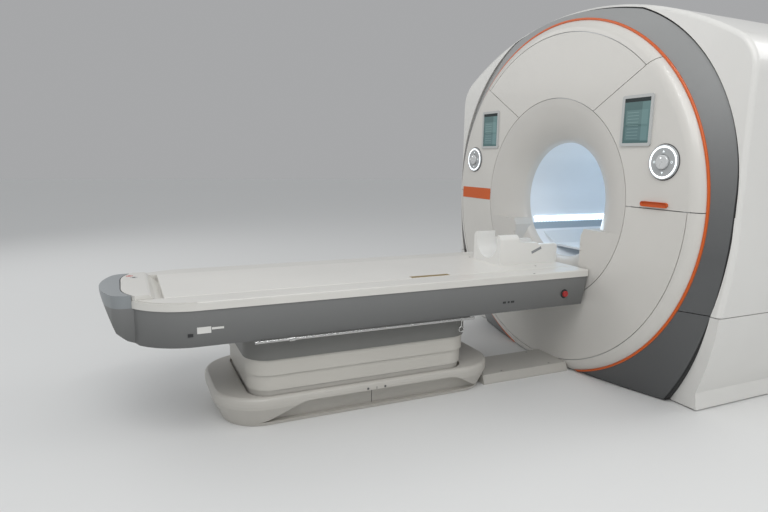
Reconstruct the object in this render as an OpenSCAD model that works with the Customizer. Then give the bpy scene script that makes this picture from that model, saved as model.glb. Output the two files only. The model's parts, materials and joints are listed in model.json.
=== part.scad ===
// Whole-body MRI scanner: a gantry with its magnet inside, and the patient table in front of it.
// Z is up and the floor is at zero. The bore runs along Y, the table stands on the -Y side.
// The origin is on the floor, straight below the centre of the bore.

/* [Gantry] */
// Height of the bore's centre line above the floor
iso_h = 1000; // [970:5:1030]
// Diameter of the patient bore
bore_d = 700; // [640:10:710]
// Length of the gantry along the bore
gantry_len = 1860; // [1800:10:1960]
// Full width of the white rear shell
shell_w = 2310; // [2290:5:2360]
// Height of the top of the rear shell
shell_h = 2100; // [2090:5:2140]
// Thickness of the moulded covers
cover_t = 8; // [6:0.5:10]
// Width of the seams between covers
seam_w = 4; // [2:0.5:6]
// Clearance under the covers at the floor
floor_gap = 6; // [3:1:12]
// Radius of the rounded edge of the rear shell
shell_edge_r = 25; // [16:1:32]
// Height of the seam that parts the rear shell's upper and lower pieces
shell_seam_z = 530; // [480:5:580]
// Tilt of the lower front of the rear shell, in degrees
shell_tilt = 12; // [6:0.5:15]

/* [Front disc] */
// Outer radius of the front disc
disc_r = 1033; // [1028:1:1042]
// Width of the curved rim outside the outer seam
rim_w = 64; // [56:1:76]
// How far the flat front stands ahead of the edge of the disc
face_proud = 42; // [34:1:50]
// Radius of the seam round the bore flare
flare_seam_r = 605; // [585:5:620]
// Radius of the large arc of the bore flare
flare_r = 320; // [300:5:340]
// Radius of the small arc of the bore flare at the tunnel
lip_r = 70; // [55:5:85]
// Height of the horizontal seams above the bore's centre line
side_seam_rise = 12; // [0:1:40]
// Half width of the flat rim piece at the floor
foot_rim_w = 235; // [200:5:260]
// Height of the shoulders beside the table channel
shoulder_h = 860; // [830:5:880]
// Half width of the table channel between the shoulders
channel_w = 300; // [290:2:310]

/* [Accent ring and side band] */
// Radial height of the accent ring
ring_t = 12; // [8:0.5:15]
// Width of the accent ring along the bore
ring_len = 15; // [13:0.5:20]
// Fall of the side band for each millimetre of radius
band_slope = 0.5; // [0.4:0.01:0.6]
// Width of the dark gap between side band and rear shell
band_gap = 8; // [5:0.5:12]

/* [Displays and dials] */
// Width of a display bezel
display_w = 193; // [170:1:200]
// Height of a display bezel
display_h = 252; // [230:1:260]
// Distance of a display's centre from the bore's centre line, sideways
display_x = 635; // [630:1:640]
// Height of a display's centre above the bore's centre line
display_z = 444; // [438:1:450]
// Radius of a dial
dial_r = 84; // [78:1:88]
// Distance of a dial's centre from the bore's centre line, sideways
dial_x = 818; // [812:1:822]
// Height of a dial's centre above the bore's centre line
dial_z = 240; // [236:1:244]
// Radius of the turning knob in a dial
knob_r = 34; // [30:1:38]
// How far the knob stands out of its dial
knob_out = 16; // [10:1:22]

/* [Magnet] */
// Outer radius of the magnet vessel
vessel_r = 930; // [900:5:940]
// Length of the magnet vessel
vessel_len = 1580; // [1500:10:1600]
// Radius of the warm bore of the vessel
warm_r = 460; // [455:1:470]
// Outer radius of the gradient coil
gradient_r = 450; // [440:1:452]
// Radial thickness of the gradient coil
gradient_t = 75; // [60:1:80]
// Spacing of the anchor bolts across the gantry
anchor_x = 1280; // [1240:10:1320]
// Spacing of the anchor bolts along the bore
anchor_y = 1100; // [1000:10:1150]
// Radius of an anchor bolt hole
anchor_r = 13.5; // [9:0.5:16]

/* [Table] */
// Height of the table top at rest
table_h = 638; // [634:1:660]
// Width of the white table top
table_w = 778; // [760:2:790]
// Length of the white table top
table_len = 2400; // [2380:10:2450]
// Thickness of the white table top
top_t = 37; // [32:1:42]
// Radius of the rounded foot corners of the table top
foot_r = 290; // [240:5:320]
// Width of the board that carries the patient
board_w = 530; // [500:2:540]
// Gap between the head end of the table and the gantry's face
table_gap = 8; // [5:1:20]
// Depth of the grey beam below the table top
beam_h = 158; // [150:1:165]
// Length of the end cap beyond the white table top
cap_len = 85; // [70:1:100]
// Travel of the lift upwards
lift_up = 142; // [100:1:160]
// Travel of the lift downwards
lift_down = 118; // [60:1:125]

/* [Pedestal] */
// Half width of the upper skirt
skirt_w = 336; // [330:1:345]
// Distance from the gantry's face to the near end of the upper skirt
skirt_near = 733; // [700:5:760]
// Distance from the gantry's face to the far end of the upper skirt
skirt_far = 1908; // [1880:5:1940]
// Corner radius of the upper skirt
skirt_r = 120; // [100:5:150]
// Wall of a skirt section
skirt_t = 5; // [4:0.5:6]
// Running gap between two skirt sections
skirt_gap = 3; // [2:0.5:4]
// Half width of the base on the floor
base_w = 300; // [290:2:310]
// Height of the base
base_h = 150; // [144:1:156]
// Radius of the lift cylinders
cylinder_r = 70; // [60:1:80]
// Radius of the lift rods
rod_r = 45; // [35:1:50]

/* [Hidden] */

// Facets of the large, middle and small circles
fn_big = 192;
fn_mid = 96;
fn_small = 48;
// Cutting bodies reach this far past what they cut
cut = 5;
// Larger than the whole gantry
far = 5000;
// Clearance between pieces that rest on curved faces
fit = 0.3;

// The gantry's own frame: local Z points forward, out of the bore
bore_r = bore_d / 2;
face_v = gantry_len / 2;
ring_v = face_v - face_proud;
back_v = face_v - cover_t;
seam_half = seam_w / 2;
outer_seam_r = disc_r - rim_w;
// The rim's arc is tangent to the face and reaches the edge of the disc
rim_r = (rim_w * rim_w + face_proud * face_proud) / (2 * face_proud);
rim_end = asin(rim_w / rim_r);
// Flat land of the flare inside its seam, then its two tangent arcs
flare_land = 5;
flare_c = [flare_seam_r - flare_land, face_v - flare_r];
lip_cr = bore_r + lip_r;
lip_cv = flare_c[1] + sqrt(pow(flare_r - lip_r, 2) - pow(flare_c[0] - lip_cr, 2));
flare_join = atan2(lip_cv - flare_c[1], lip_cr - flare_c[0]);
tunnel_v = lip_cv;
// The cover frame's rings behind the covers
frame_t = 16;
rim_skirt_v = ring_v - 12;
frame_v = rim_skirt_v - frame_t;
base_v = frame_v - frame_t;
rib_w = 30;
inner_ring_w = 60;
outer_ring_in = outer_seam_r - rib_w;
ring_in = disc_r + fit;
ring_out = ring_in + ring_t;
band_in = ring_out + fit;
band_v = ring_v - 6;
band_flange = 8;
frame_out = band_in + 26;
band_fall = cover_t * sqrt(1 + band_slope * band_slope);
post_r = 22;
vessel_v = vessel_len / 2;

// Outline of the rear shell, seen from the front
shell_x = shell_w / 2;
top_arc_r = 2050;
corner_r = 200;
corner_c = [shell_x - corner_r, shell_h - 466];
top_arc_z = shell_h - top_arc_r;
corner_angle = atan2(corner_c[1] - top_arc_z, corner_c[0]);
waist_z = 900;
lower_arc_r = 1850;
foot_x = 973;
foot_z = 110;
shell_front_v = ring_v - 52;
shell_lip = 30;
rear_strip = 150;
// Outline of the side band, a rounded square about the disc
band_corner_r = 1000;
band_margin = 25;
band_x = shell_x - band_margin;
band_top = shell_h - 10;
band_arc_r = 1700;
band_edge = 22;

// The seams that part the front panels, as points on the face
top_seam_in = 57.4;
top_seam_out = 46;

// The table
face_y = -face_v;
head_y = face_y - table_gap;
foot_y = head_y - table_len;
top_x = table_w / 2;
top_under = table_h - top_t;
beam_z = top_under - beam_h;
beam_x = top_x - 6;
beam_t = 6;
frame_x = beam_x - beam_t;
board_x = board_w / 2;
board_gap = 3;
end_plate_t = 20;
skirt_top = beam_z;
skirt_upper_h = 117;
skirt_upper_z = skirt_top - skirt_upper_h;
skirt_middle_z = 250;
skirt_lower_z = base_h + 25;
skirt_cy = (skirt_near + skirt_far) / 2;
skirt_half = (skirt_far - skirt_near) / 2;
lift_pair_y = 360;
stop_y = face_y - 167;
stop_z = top_under - 89;
stop_r = 17;
stop_stem = 8;
stop_travel = 5;
stop_h = 9;
stop_edge = 3;
stem_in = 12;
run_fit = 0.05;
shaft_r = 8;

// Turns a shape about the bore's axis into the gantry's place
module about_bore() {
    translate([0, 0, iso_h]) rotate([90, 0, 0]) children();
}

module mirrored(side) {
    if (side > 0) {
        children();
    } else {
        mirror([1, 0, 0]) children();
    }
}

// A pie slice of the plane between two angles less than 180 degrees apart
module wedge(reach, a0, a1) {
    polygon([[0, 0], reach * [cos(a0), sin(a0)],
        1.6 * reach * [cos((a0 + a1) / 2), sin((a0 + a1) / 2)], reach * [cos(a1), sin(a1)]]);
}

module ring_sector(outer, inner, a0, a1, fn = fn_mid) {
    difference() {
        intersection() {
            circle(outer, $fn = fn);
            wedge(2 * outer, a0, a1);
        }
        circle(inner, $fn = fn);
    }
}

module rounded_rect(w, h, r) {
    hull_x = w / 2 - r;
    hull_y = h / 2 - r;
    square([w, 2 * hull_y], center = true);
    square([2 * hull_x, h], center = true);
    for (x = [-1, 1], y = [-1, 1]) {
        translate([x * hull_x, y * hull_y]) circle(r, $fn = fn_small);
    }
}

// Outline of the rear shell, drawn smaller by inset, from the floor up
module shell_outline(inset) {
    intersection() {
        translate([0, top_arc_z]) circle(top_arc_r - inset, $fn = fn_big);
        translate([0, top_arc_z]) wedge(2 * top_arc_r, corner_angle, 180 - corner_angle);
    }
    for (side = [-1, 1]) {
        translate([side * corner_c[0], corner_c[1]]) circle(corner_r - inset, $fn = fn_mid);
    }
    translate([-shell_x + inset, waist_z]) square([shell_w - 2 * inset, corner_c[1] - waist_z]);
    intersection() {
        for (side = [-1, 1]) {
            translate([side * (shell_x - lower_arc_r), waist_z]) circle(lower_arc_r - inset, $fn = fn_big);
        }
        translate([-shell_x, 0]) square([shell_w, waist_z]);
        translate([shell_x - lower_arc_r, waist_z]) circle(lower_arc_r - inset, $fn = fn_big);
        translate([lower_arc_r - shell_x, waist_z]) circle(lower_arc_r - inset, $fn = fn_big);
    }
    translate([-foot_x + inset, 0]) square([2 * (foot_x - inset), foot_z]);
}

// Outline of the side band, drawn larger by grow, from the floor up
module band_outline(grow) {
    cx = band_x - band_corner_r;
    cz = band_top - band_corner_r;
    for (side = [-1, 1]) {
        translate([side * cx, cz]) circle(band_corner_r + grow, $fn = fn_big);
    }
    translate([-cx, cz]) square([2 * cx, band_corner_r + grow]);
    translate([-band_x - grow, iso_h]) square([2 * (band_x + grow), cz - iso_h]);
    intersection() {
        translate([-band_x - cut, 0]) square([2 * (band_x + cut), iso_h]);
        translate([band_x - band_arc_r, iso_h]) circle(band_arc_r + grow, $fn = fn_big);
        translate([band_arc_r - band_x, iso_h]) circle(band_arc_r + grow, $fn = fn_big);
    }
}

// The band's outline, kept clear of the edge of the rear shell
module band_region(grow) {
    intersection() {
        band_outline(grow);
        shell_outline(band_edge - grow);
    }
}

// Stands an outline drawn in X and Z up between two distances forward of the centre
module upright(v0, v1) {
    translate([0, -v0, 0]) rotate([90, 0, 0]) linear_extrude(v1 - v0) children();
}

// Everything above, or below, a height
module above(z) {
    translate([-far, -far, z]) cube([2 * far, 2 * far, far]);
}

module below(z) {
    translate([-far, -far, z - far]) cube([2 * far, 2 * far, far]);
}

module side_half(side) {
    mirrored(side) translate([0, -far, -far]) cube([far, 2 * far, 2 * far]);
}

/* Magnet */

vessel_wall = 30;
turret_y = 250;
cold_head_r = 62;
neck_r = cold_head_r + 10;

// Hollow vessel for the coils, with the neck of the cold head on top
module magnet_vessel() {
    color("gainsboro") difference() {
        about_bore() rotate_extrude($fn = fn_big) difference() {
            translate([warm_r, -vessel_v]) square([vessel_r - warm_r, vessel_len]);
            translate([warm_r + vessel_wall, vessel_wall - vessel_v])
                square([vessel_r - warm_r - 2 * vessel_wall, vessel_len - 2 * vessel_wall]);
            for (end = [-1, 1]) {
                translate([vessel_r, end * vessel_v]) rotate(45) square(vessel_wall, center = true);
            }
        }
        translate([0, turret_y, iso_h]) cylinder(far, r = neck_r, $fn = fn_mid);
    }
}

foot_plate_t = 30;
foot_over = 70;
foot_len = 170;
saddle_w = 1180;
saddle_h = 260;

module magnet_feet() {
    color("dimgray") for (end = [-1, 1]) {
        difference() {
            union() {
                translate([-anchor_x / 2 - foot_over, end * anchor_y / 2 - foot_len / 2, 0])
                    cube([anchor_x + 2 * foot_over, foot_len, foot_plate_t]);
                translate([-saddle_w / 2, end * anchor_y / 2 - foot_len / 2, 0])
                    cube([saddle_w, foot_len, saddle_h]);
            }
            about_bore() translate([0, 0, -far]) cylinder(2 * far, r = vessel_r + fit, $fn = fn_big);
            for (side = [-1, 1]) {
                translate([side * anchor_x / 2, end * anchor_y / 2, -cut])
                    cylinder(foot_plate_t + 2 * cut, r = anchor_r, $fn = fn_small);
            }
        }
    }
}

turret_r = 150;
turret_top = iso_h + vessel_r + 50;
cold_head_h = 70;
probe_len = 240;
turret_sink = 60;
flange_t = 12;
flange_over = 22;
turret_bolt_r = 10;
turret_bolt_h = 9;

module cold_head() {
    color("silver") translate([0, turret_y, 0]) {
        difference() {
            translate([0, 0, iso_h + vessel_r - turret_sink])
                cylinder(turret_top - iso_h - vessel_r + turret_sink, r = turret_r, $fn = fn_mid);
            translate([0, -turret_y, 0]) about_bore()
                translate([0, 0, -far]) cylinder(2 * far, r = vessel_r + fit, $fn = fn_big);
        }
        translate([0, 0, turret_top - probe_len])
            cylinder(cold_head_h + probe_len, r = cold_head_r, $fn = fn_mid);
        translate([0, 0, turret_top + cold_head_h / 3])
            cylinder(flange_t, r = cold_head_r + flange_over, $fn = fn_mid);
        for (a = [45:90:315]) {
            rotate(a) translate([turret_r - flange_over, 0, turret_top])
                cylinder(turret_bolt_h, r = turret_bolt_r, $fn = 6);
        }
    }
}

gradient_v = vessel_v - 90;

module gradient_coil() {
    color("peru") about_bore() rotate_extrude($fn = fn_big)
        translate([gradient_r - gradient_t, -gradient_v]) square([gradient_t, 2 * gradient_v]);
}

support_n = 8;
support_in = 60;
support_len = 80;
support_half = 7;

module coil_supports() {
    color("darkgray") about_bore() for (i = [0:support_n - 1], end = [-1, 1]) {
        a = (i + 0.5) * 360 / support_n;
        translate([0, 0, end * (gradient_v - support_in) - support_len / 2]) linear_extrude(support_len)
            ring_sector(warm_r - fit, gradient_r + fit, a - support_half, a + support_half, fn_big);
    }
}

body_coil_v = gradient_v - support_in;
liner_r = bore_r + cover_t;
rung_n = 16;
rung_half = 4;
rung_t = 4;
rung_end = 40;
tube_t = 6;
end_ring_v = body_coil_v - 30;
end_ring_w = 50;

module body_coil() {
    inner = liner_r + fit;
    outer = inner + tube_t - 1;
    color("goldenrod") about_bore() {
        rotate_extrude($fn = fn_mid) translate([inner, -body_coil_v]) square([tube_t, 2 * body_coil_v]);
        for (end = [-1, 1]) {
            translate([0, 0, end * end_ring_v - end_ring_w / 2]) linear_extrude(end_ring_w) difference() {
                circle(gradient_r - gradient_t - fit, $fn = fn_mid);
                circle(outer, $fn = fn_mid);
            }
        }
        for (i = [0:rung_n - 1]) {
            a = i * 360 / rung_n;
            translate([0, 0, rung_end - body_coil_v]) linear_extrude(2 * (body_coil_v - rung_end))
                ring_sector(outer + rung_t, outer, a - rung_half, a + rung_half);
        }
    }
}

module bore_liner() {
    color("white") about_bore() rotate_extrude($fn = fn_mid)
        translate([bore_r, fit - tunnel_v]) square([cover_t, 2 * (tunnel_v - fit)]);
}

light_angle = 26;
light_half = 3.2;
light_t = 7;
light_end = 20;

module bore_lights() {
    color("azure") about_bore() for (a = [180 + light_angle, 360 - light_angle]) {
        translate([0, 0, light_end - tunnel_v]) linear_extrude(2 * (tunnel_v - light_end))
            ring_sector(bore_r - fit, bore_r - fit - light_t, a - light_half, a + light_half);
    }
}

ledge_drop = 227;
deck_drop = 295;
ledge_z = iso_h - ledge_drop;
deck_z = iso_h - deck_drop;
deck_half = 150;
edge_land = 4;
deck_v = tunnel_v - 60;
deck_t = 40;
deck_wall = 20;
deck_skin = 12;

module bore_deck() {
    ledge_x = sqrt(pow(bore_r, 2) - pow(iso_h - ledge_z, 2)) - edge_land;
    color("whitesmoke") upright(-deck_v, deck_v) intersection() {
        translate([0, iso_h]) circle(bore_r - fit, $fn = fn_mid);
        difference() {
            translate([-bore_r, deck_z - deck_t]) square([bore_d, ledge_z - deck_z + deck_t]);
            polygon([[-ledge_x, ledge_z + cut], [-ledge_x, ledge_z], [-deck_half, deck_z],
                [deck_half, deck_z], [ledge_x, ledge_z], [ledge_x, ledge_z + cut]]);
            translate([deck_wall - deck_half, deck_z - deck_t - cut])
                square([2 * (deck_half - deck_wall), deck_t - deck_skin + cut]);
        }
    }
}

/* Cover frames */

arm_w = 50;
arm_n = 8;
arm_lap = 20;
post_in = flare_seam_r + 60;
post_out = vessel_r - 110;
lap_gap = 0.5;
seam_lap = 8;
bracket_lap = 10;
bracket_v = vessel_v - 90;
bracket_low = 300;
bracket_high = 1150;

// One frame, drawn for the front; the rear one is its mirror image
module cover_frame() {
    color("slategray") intersection() {
        union() {
            about_bore() {
                rotate_extrude($fn = fn_big) {
                    // inner ring with its rib under the flare's seam
                    translate([flare_seam_r - frame_lap, frame_v]) square([inner_ring_w, frame_t]);
                    translate([flare_seam_r - frame_lap, frame_v])
                        square([frame_lap, back_v - frame_v - lap_gap]);
                    translate([flare_seam_r, frame_v]) square([rib_w, back_v - frame_v]);
                    // outer ring with its rib under the outer seam
                    translate([outer_ring_in, base_v]) square([frame_out - outer_ring_in, frame_t]);
                    translate([outer_ring_in, frame_v]) square([ring_out - outer_ring_in, frame_t]);
                    translate([outer_ring_in, frame_v]) square([rib_w, back_v - frame_v]);
                    translate([outer_seam_r, frame_v]) square([seam_lap, back_v - frame_v - lap_gap]);
                }
                for (i = [0:arm_n - 1]) {
                    rotate((i + 0.5) * 360 / arm_n) {
                        translate([flare_seam_r + arm_lap, -arm_w / 2, frame_v])
                            cube([outer_seam_r - flare_seam_r - 2 * arm_lap, arm_w, frame_t]);
                        for (r = [post_in, post_out]) {
                            translate([r, 0, vessel_v])
                                cylinder(frame_v - vessel_v, r = post_r, $fn = fn_small);
                        }
                    }
                }
            }
            // brackets from the outer ring to the inside of the rear shell
            difference() {
                upright(bracket_v, base_v + 1) intersection() {
                    shell_outline(cover_t + fit);
                    union() {
                        translate([-far, bracket_low]) square([2 * far, arm_w]);
                        translate([-far, bracket_high]) square([2 * far, arm_w]);
                    }
                }
                about_bore() translate([0, 0, -far])
                    cylinder(2 * far, r = outer_ring_in + bracket_lap, $fn = fn_big);
                // outside the ring they stay behind the side band
                about_bore() translate([0, 0, bracket_v + arm_w]) difference() {
                    cylinder(far, r = far, $fn = fn_big);
                    translate([0, 0, -cut]) cylinder(far + 2 * cut, r = disc_r, $fn = fn_big);
                }
            }
        }
        above(floor_gap);
    }
}

module cover_frame_front() {
    cover_frame();
}

module cover_frame_rear() {
    mirror([0, 1, 0]) cover_frame();
    color("slategray") intersection() {
        upright(-back_v, frame_t - back_v) difference() {
            shell_outline(rear_strip - arm_lap);
            shell_outline(rear_strip + arm_lap);
        }
        above(floor_gap);
    }
}

/* Front covers */

// Section of the face between two radii, and of the rim with its skirt
module face_section(r0, r1) {
    translate([r0, back_v]) square([r1 - r0, cover_t]);
}

module rim_section() {
    inner_x = disc_r - cover_t * sin(rim_end);
    difference() {
        intersection() {
            translate([outer_seam_r, face_v - rim_r]) circle(rim_r, $fn = fn_mid);
            translate([outer_seam_r, rim_skirt_v]) square([rim_w, far]);
        }
        intersection() {
            translate([outer_seam_r, face_v - rim_r]) circle(rim_r - cover_t, $fn = fn_mid);
            translate([outer_seam_r - cut, rim_skirt_v - cut]) square([inner_x - outer_seam_r + cut, far]);
        }
    }
}

module flare_section() {
    translate([flare_c[0], back_v]) square([flare_land - seam_half, cover_t]);
    translate(flare_c) ring_sector(flare_r, flare_r - cover_t, 90, flare_join);
    translate([lip_cr, lip_cv]) ring_sector(lip_r, lip_r - cover_t, flare_join, 180);
}

// The part of the disc above the two slanting seams
module top_region() {
    p_in = flare_seam_r * [cos(top_seam_in), sin(top_seam_in)];
    p_out = disc_r * [cos(top_seam_out), sin(top_seam_out)];
    dir = (p_out - p_in) / norm(p_out - p_in);
    q_out = p_in + 1.5 * disc_r * dir;
    q_in = p_in - flare_seam_r * dir * 0.3;
    polygon([[-q_in[0], q_in[1]], [q_in[0], q_in[1]], q_out, [q_out[0], far],
        [-q_out[0], far], [-q_out[0], q_out[1]]]);
}

// Strip of the plane that one slanting seam takes away
module slant_seam(side) {
    p_in = flare_seam_r * [cos(top_seam_in), sin(top_seam_in)];
    p_out = disc_r * [cos(top_seam_out), sin(top_seam_out)];
    turn = atan2(p_out[1] - p_in[1], p_out[0] - p_in[0]);
    mirrored(side) translate(p_in) rotate(turn) translate([-disc_r, -seam_half]) square([3 * disc_r, seam_w]);
}

module through() {
    translate([0, 0, -far]) linear_extrude(2 * far) children();
}

module front_top_panel() {
    color("whitesmoke") about_bore() difference() {
        intersection() {
            rotate_extrude($fn = fn_big)
                face_section(flare_seam_r + seam_half, outer_seam_r - seam_half);
            through() top_region();
        }
        through() for (side = [-1, 1]) {
            slant_seam(side);
        }
    }
}

module rim_piece() {
    about_bore() rotate_extrude($fn = fn_big) difference() {
        rim_section();
        translate([outer_seam_r - cut, back_v - cut]) square([cut + seam_half, 3 * cut + cover_t]);
    }
}

module front_top_rim() {
    color("whitesmoke") difference() {
        intersection() {
            rim_piece();
            about_bore() through() top_region();
        }
        about_bore() through() for (side = [-1, 1]) {
            slant_seam(side);
        }
    }
}

// Panel beside the bore, one piece with its rim
module side_panel(side) {
    color("whitesmoke") difference() {
        about_bore() difference() {
            rotate_extrude($fn = fn_big) {
                face_section(flare_seam_r + seam_half, outer_seam_r);
                rim_section();
            }
            through() top_region();
            through() slant_seam(side);
            through() translate([-far, side_seam_rise + seam_half - 2 * far]) square([2 * far, 2 * far]);
        }
        side_half(-side);
        about_bore() translate([side * dial_x, dial_z, 0]) cylinder(far, r = knob_r / 2, $fn = fn_small);
    }
}

module front_right_panel() {
    side_panel(1);
}

module front_left_panel() {
    side_panel(-1);
}

module front_lower_panel() {
    color("whitesmoke") intersection() {
        about_bore() difference() {
            rotate_extrude($fn = fn_big)
                face_section(flare_seam_r + seam_half, outer_seam_r - seam_half);
            through() translate([-far, side_seam_rise - seam_half]) square([2 * far, far]);
        }
        above(floor_gap);
    }
}

module lower_rim(side) {
    color("whitesmoke") intersection() {
        difference() {
            rim_piece();
            about_bore() through() translate([-far, side_seam_rise - seam_half]) square([2 * far, far]);
            mirrored(side) translate([-far, -far, -far]) cube([far + foot_rim_w + seam_half, 2 * far, 2 * far]);
        }
        above(floor_gap);
    }
}

module front_lower_rim_right() {
    lower_rim(1);
}

module front_lower_rim_left() {
    lower_rim(-1);
}

module front_foot_rim() {
    color("whitesmoke") intersection() {
        rim_piece();
        translate([-foot_rim_w + seam_half, -far, floor_gap])
            cube([2 * (foot_rim_w - seam_half), far, iso_h / 2]);
    }
}

mark_w = 14;
mark_h = 5;
mark_depth = 4;
mark_x = channel_w + 12;

shoulder_rise = shoulder_h - iso_h;
frame_lap = 15;

module shoulder_plan(r) {
    difference() {
        intersection() {
            circle(r, $fn = fn_big);
            translate([-far, shoulder_rise - far]) square([2 * far, far]);
        }
        circle(bore_r, $fn = fn_mid);
        translate([-channel_w, -far]) square([2 * channel_w, far]);
    }
}

module bore_flare_front() {
    color("whitesmoke") about_bore() {
        difference() {
            union() {
                rotate_extrude($fn = fn_big) flare_section();
                // shoulders fill the flare beside the table channel, flush with the face
                translate([0, 0, vessel_v + cut]) linear_extrude(face_v - vessel_v - cut)
                    shoulder_plan(flare_seam_r - frame_lap - fit);
                translate([0, 0, back_v]) linear_extrude(cover_t) shoulder_plan(flare_seam_r - seam_half);
            }
            for (side = [-1, 1], z = [shoulder_rise - 92, shoulder_rise - 126]) {
                translate([side * mark_x - mark_w / 2, z - mark_h / 2, face_v - mark_depth])
                    cube([mark_w, mark_h, mark_depth + cut]);
            }
        }
    }
}

module bore_flare_rear() {
    color("whitesmoke") about_bore() mirror([0, 0, 1]) rotate_extrude($fn = fn_big) flare_section();
}

ring_top = rim_skirt_v + ring_len;
ring_bevel = 2.4;

module accent_ring() {
    color("orangered") intersection() {
        about_bore() rotate_extrude($fn = fn_big) polygon([[ring_in, rim_skirt_v], [ring_out, rim_skirt_v],
            [ring_out, ring_top - ring_bevel], [ring_out - ring_bevel, ring_top],
            [ring_in + ring_bevel, ring_top], [ring_in, ring_top - ring_bevel]]);
        above(floor_gap);
    }
}

/* Side band and rear shell */

module band_shell() {
    reach = 500;
    intersection() {
        about_bore() rotate_extrude($fn = fn_big) {
            polygon([[band_in, band_v], [band_in + reach, band_v - band_slope * reach],
                [band_in + reach, band_v - band_slope * reach - band_fall],
                [band_in + band_flange, band_v - band_slope * band_flange - band_fall],
                [band_in + band_flange, frame_v], [band_in, frame_v]]);
        }
        upright(0, far) band_region(0);
        above(floor_gap);
    }
}

module side_band_upper() {
    color("gray") intersection() {
        band_shell();
        above(shell_seam_z + seam_half);
    }
}

module side_band_lower(side) {
    color("gray") intersection() {
        band_shell();
        below(shell_seam_z - seam_half);
        side_half(side);
    }
}

module side_band_lower_right() {
    side_band_lower(1);
}

module side_band_lower_left() {
    side_band_lower(-1);
}

// All that lies behind the tilted lower front of the rear shell, moved back by depth
module behind_tilt(depth) {
    translate([0, -shell_front_v, shell_seam_z]) rotate([shell_tilt, 0, 0])
        translate([-far, depth, -far]) cube([2 * far, far, 2 * far]);
}

module band_gap_seal() {
    seal_deep = 30;
    seal_low = 3;
    seal_run = 260;
    color("black") intersection() {
        difference() {
            upright(shell_front_v - seal_run, shell_front_v) difference() {
                band_region(band_gap - fit);
                band_region(fit);
            }
        }
        about_bore() rotate_extrude($fn = fn_big) polygon([[0, band_v - seal_low + band_slope * band_in],
            [far, band_v - seal_low + band_slope * band_in - band_slope * far],
            [far, band_v - seal_low - seal_deep + band_slope * band_in - band_slope * far],
            [0, band_v - seal_low - seal_deep + band_slope * band_in]]);
        above(floor_gap);
    }
}

// The arc meets the faces at a slight angle instead of running out along them
edge_bite = 0.4;

// Section of what a rounded edge takes away
module edge_section(r) {
    difference() {
        translate([r - shell_edge_r, -shell_edge_r]) square([shell_edge_r + cut, shell_edge_r + cut]);
        translate([r - shell_edge_r, -shell_edge_r]) circle(shell_edge_r + edge_bite, $fn = fn_mid);
    }
}

// What the rounding takes from the edge of the shell, its end face at zero in local Z
module edge_sweep() {
    translate([0, top_arc_z, 0]) intersection() {
        rotate_extrude($fn = fn_big) edge_section(top_arc_r);
        through() wedge(2 * top_arc_r, corner_angle, 180 - corner_angle);
    }
    for (side = [-1, 1]) {
        mirrored(side) {
            translate([corner_c[0], corner_c[1], 0])
                rotate_extrude(angle = corner_angle, $fn = fn_big) edge_section(corner_r);
            translate([0, corner_c[1], 0]) rotate([90, 0, 0]) linear_extrude(corner_c[1] - waist_z)
                edge_section(shell_x);
            translate([shell_x - lower_arc_r, waist_z, 0]) mirror([0, 1, 0])
                rotate_extrude(angle = 20, $fn = fn_big) edge_section(lower_arc_r);
        }
    }
}

edge_back = 10;

// Hollow body of the rear shell, closed at both ends but for the openings, with rounded edges
module shell_body() {
    front = shell_front_v;
    back = -face_v;
    difference() {
        upright(back, front) shell_outline(0);
        upright(back + cover_t + edge_back, front - cover_t - edge_back) shell_outline(cover_t);
        upright(back + cover_t, front - cover_t) shell_outline(cover_t + edge_back);
        upright(front - cover_t - edge_back - 1, far) band_region(band_gap);
        upright(-far, 0) shell_outline(rear_strip);
        translate([0, -front, 0]) rotate([90, 0, 0]) edge_sweep();
        translate([0, -back, 0]) rotate([90, 0, 0]) mirror([0, 0, 1]) edge_sweep();
    }
}

// Lip along the dark gap, between two distances forward of the centre
module gap_lip(v0, v1) {
    upright(v0, v1) intersection() {
        difference() {
            band_region(band_gap + cover_t / 2);
            band_region(band_gap);
        }
        shell_outline(cover_t);
    }
}

module rear_shell_upper() {
    color("white") intersection() {
        union() {
            shell_body();
            gap_lip(shell_front_v - shell_lip, shell_front_v);
        }
        above(shell_seam_z + seam_half);
    }
}

module rear_shell_lower(side) {
    color("white") intersection() {
        difference() {
            upright(-face_v, face_v) shell_outline(0);
            intersection() {
                upright(cover_t + edge_back - face_v, face_v) shell_outline(cover_t);
                behind_tilt(cover_t);
            }
            upright(cover_t - face_v, 0) shell_outline(cover_t + edge_back);
            difference() {
                upright(0, face_v) band_region(band_gap);
                behind_tilt(shell_lip);
            }
            upright(-far, 0) shell_outline(rear_strip);
            translate([0, face_v, 0]) rotate([90, 0, 0]) mirror([0, 0, 1]) edge_sweep();
        }
        behind_tilt(0);
        below(shell_seam_z - seam_half);
        above(floor_gap);
        side_half(side);
    }
}

module rear_shell_lower_right() {
    rear_shell_lower(1);
}

module rear_shell_lower_left() {
    rear_shell_lower(-1);
}

module rear_panel() {
    color("white") intersection() {
        upright(-face_v, cover_t - face_v) difference() {
            shell_outline(rear_strip + seam_w);
            translate([0, iso_h]) circle(flare_seam_r + seam_half, $fn = fn_big);
        }
        above(floor_gap);
    }
}

/* Displays and dials */

bezel_w = 15;
bezel_t = 8;
screen_t = 5;
bezel_corner = 12;
screen_corner = 3;

module display_bezel(side) {
    color("lightgray") about_bore() translate([side * display_x, display_z, face_v])
        linear_extrude(bezel_t) difference() {
            rounded_rect(display_w, display_h, bezel_corner);
            rounded_rect(display_w - 2 * bezel_w, display_h - 2 * bezel_w, screen_corner);
        }
}

module display_screen(side) {
    color("teal") about_bore() translate([side * display_x, display_z, face_v])
        linear_extrude(screen_t)
            rounded_rect(display_w - 2 * bezel_w - 2 * fit, display_h - 2 * bezel_w - 2 * fit, screen_corner);
}

module display_bezel_right() {
    display_bezel(1);
}

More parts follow.
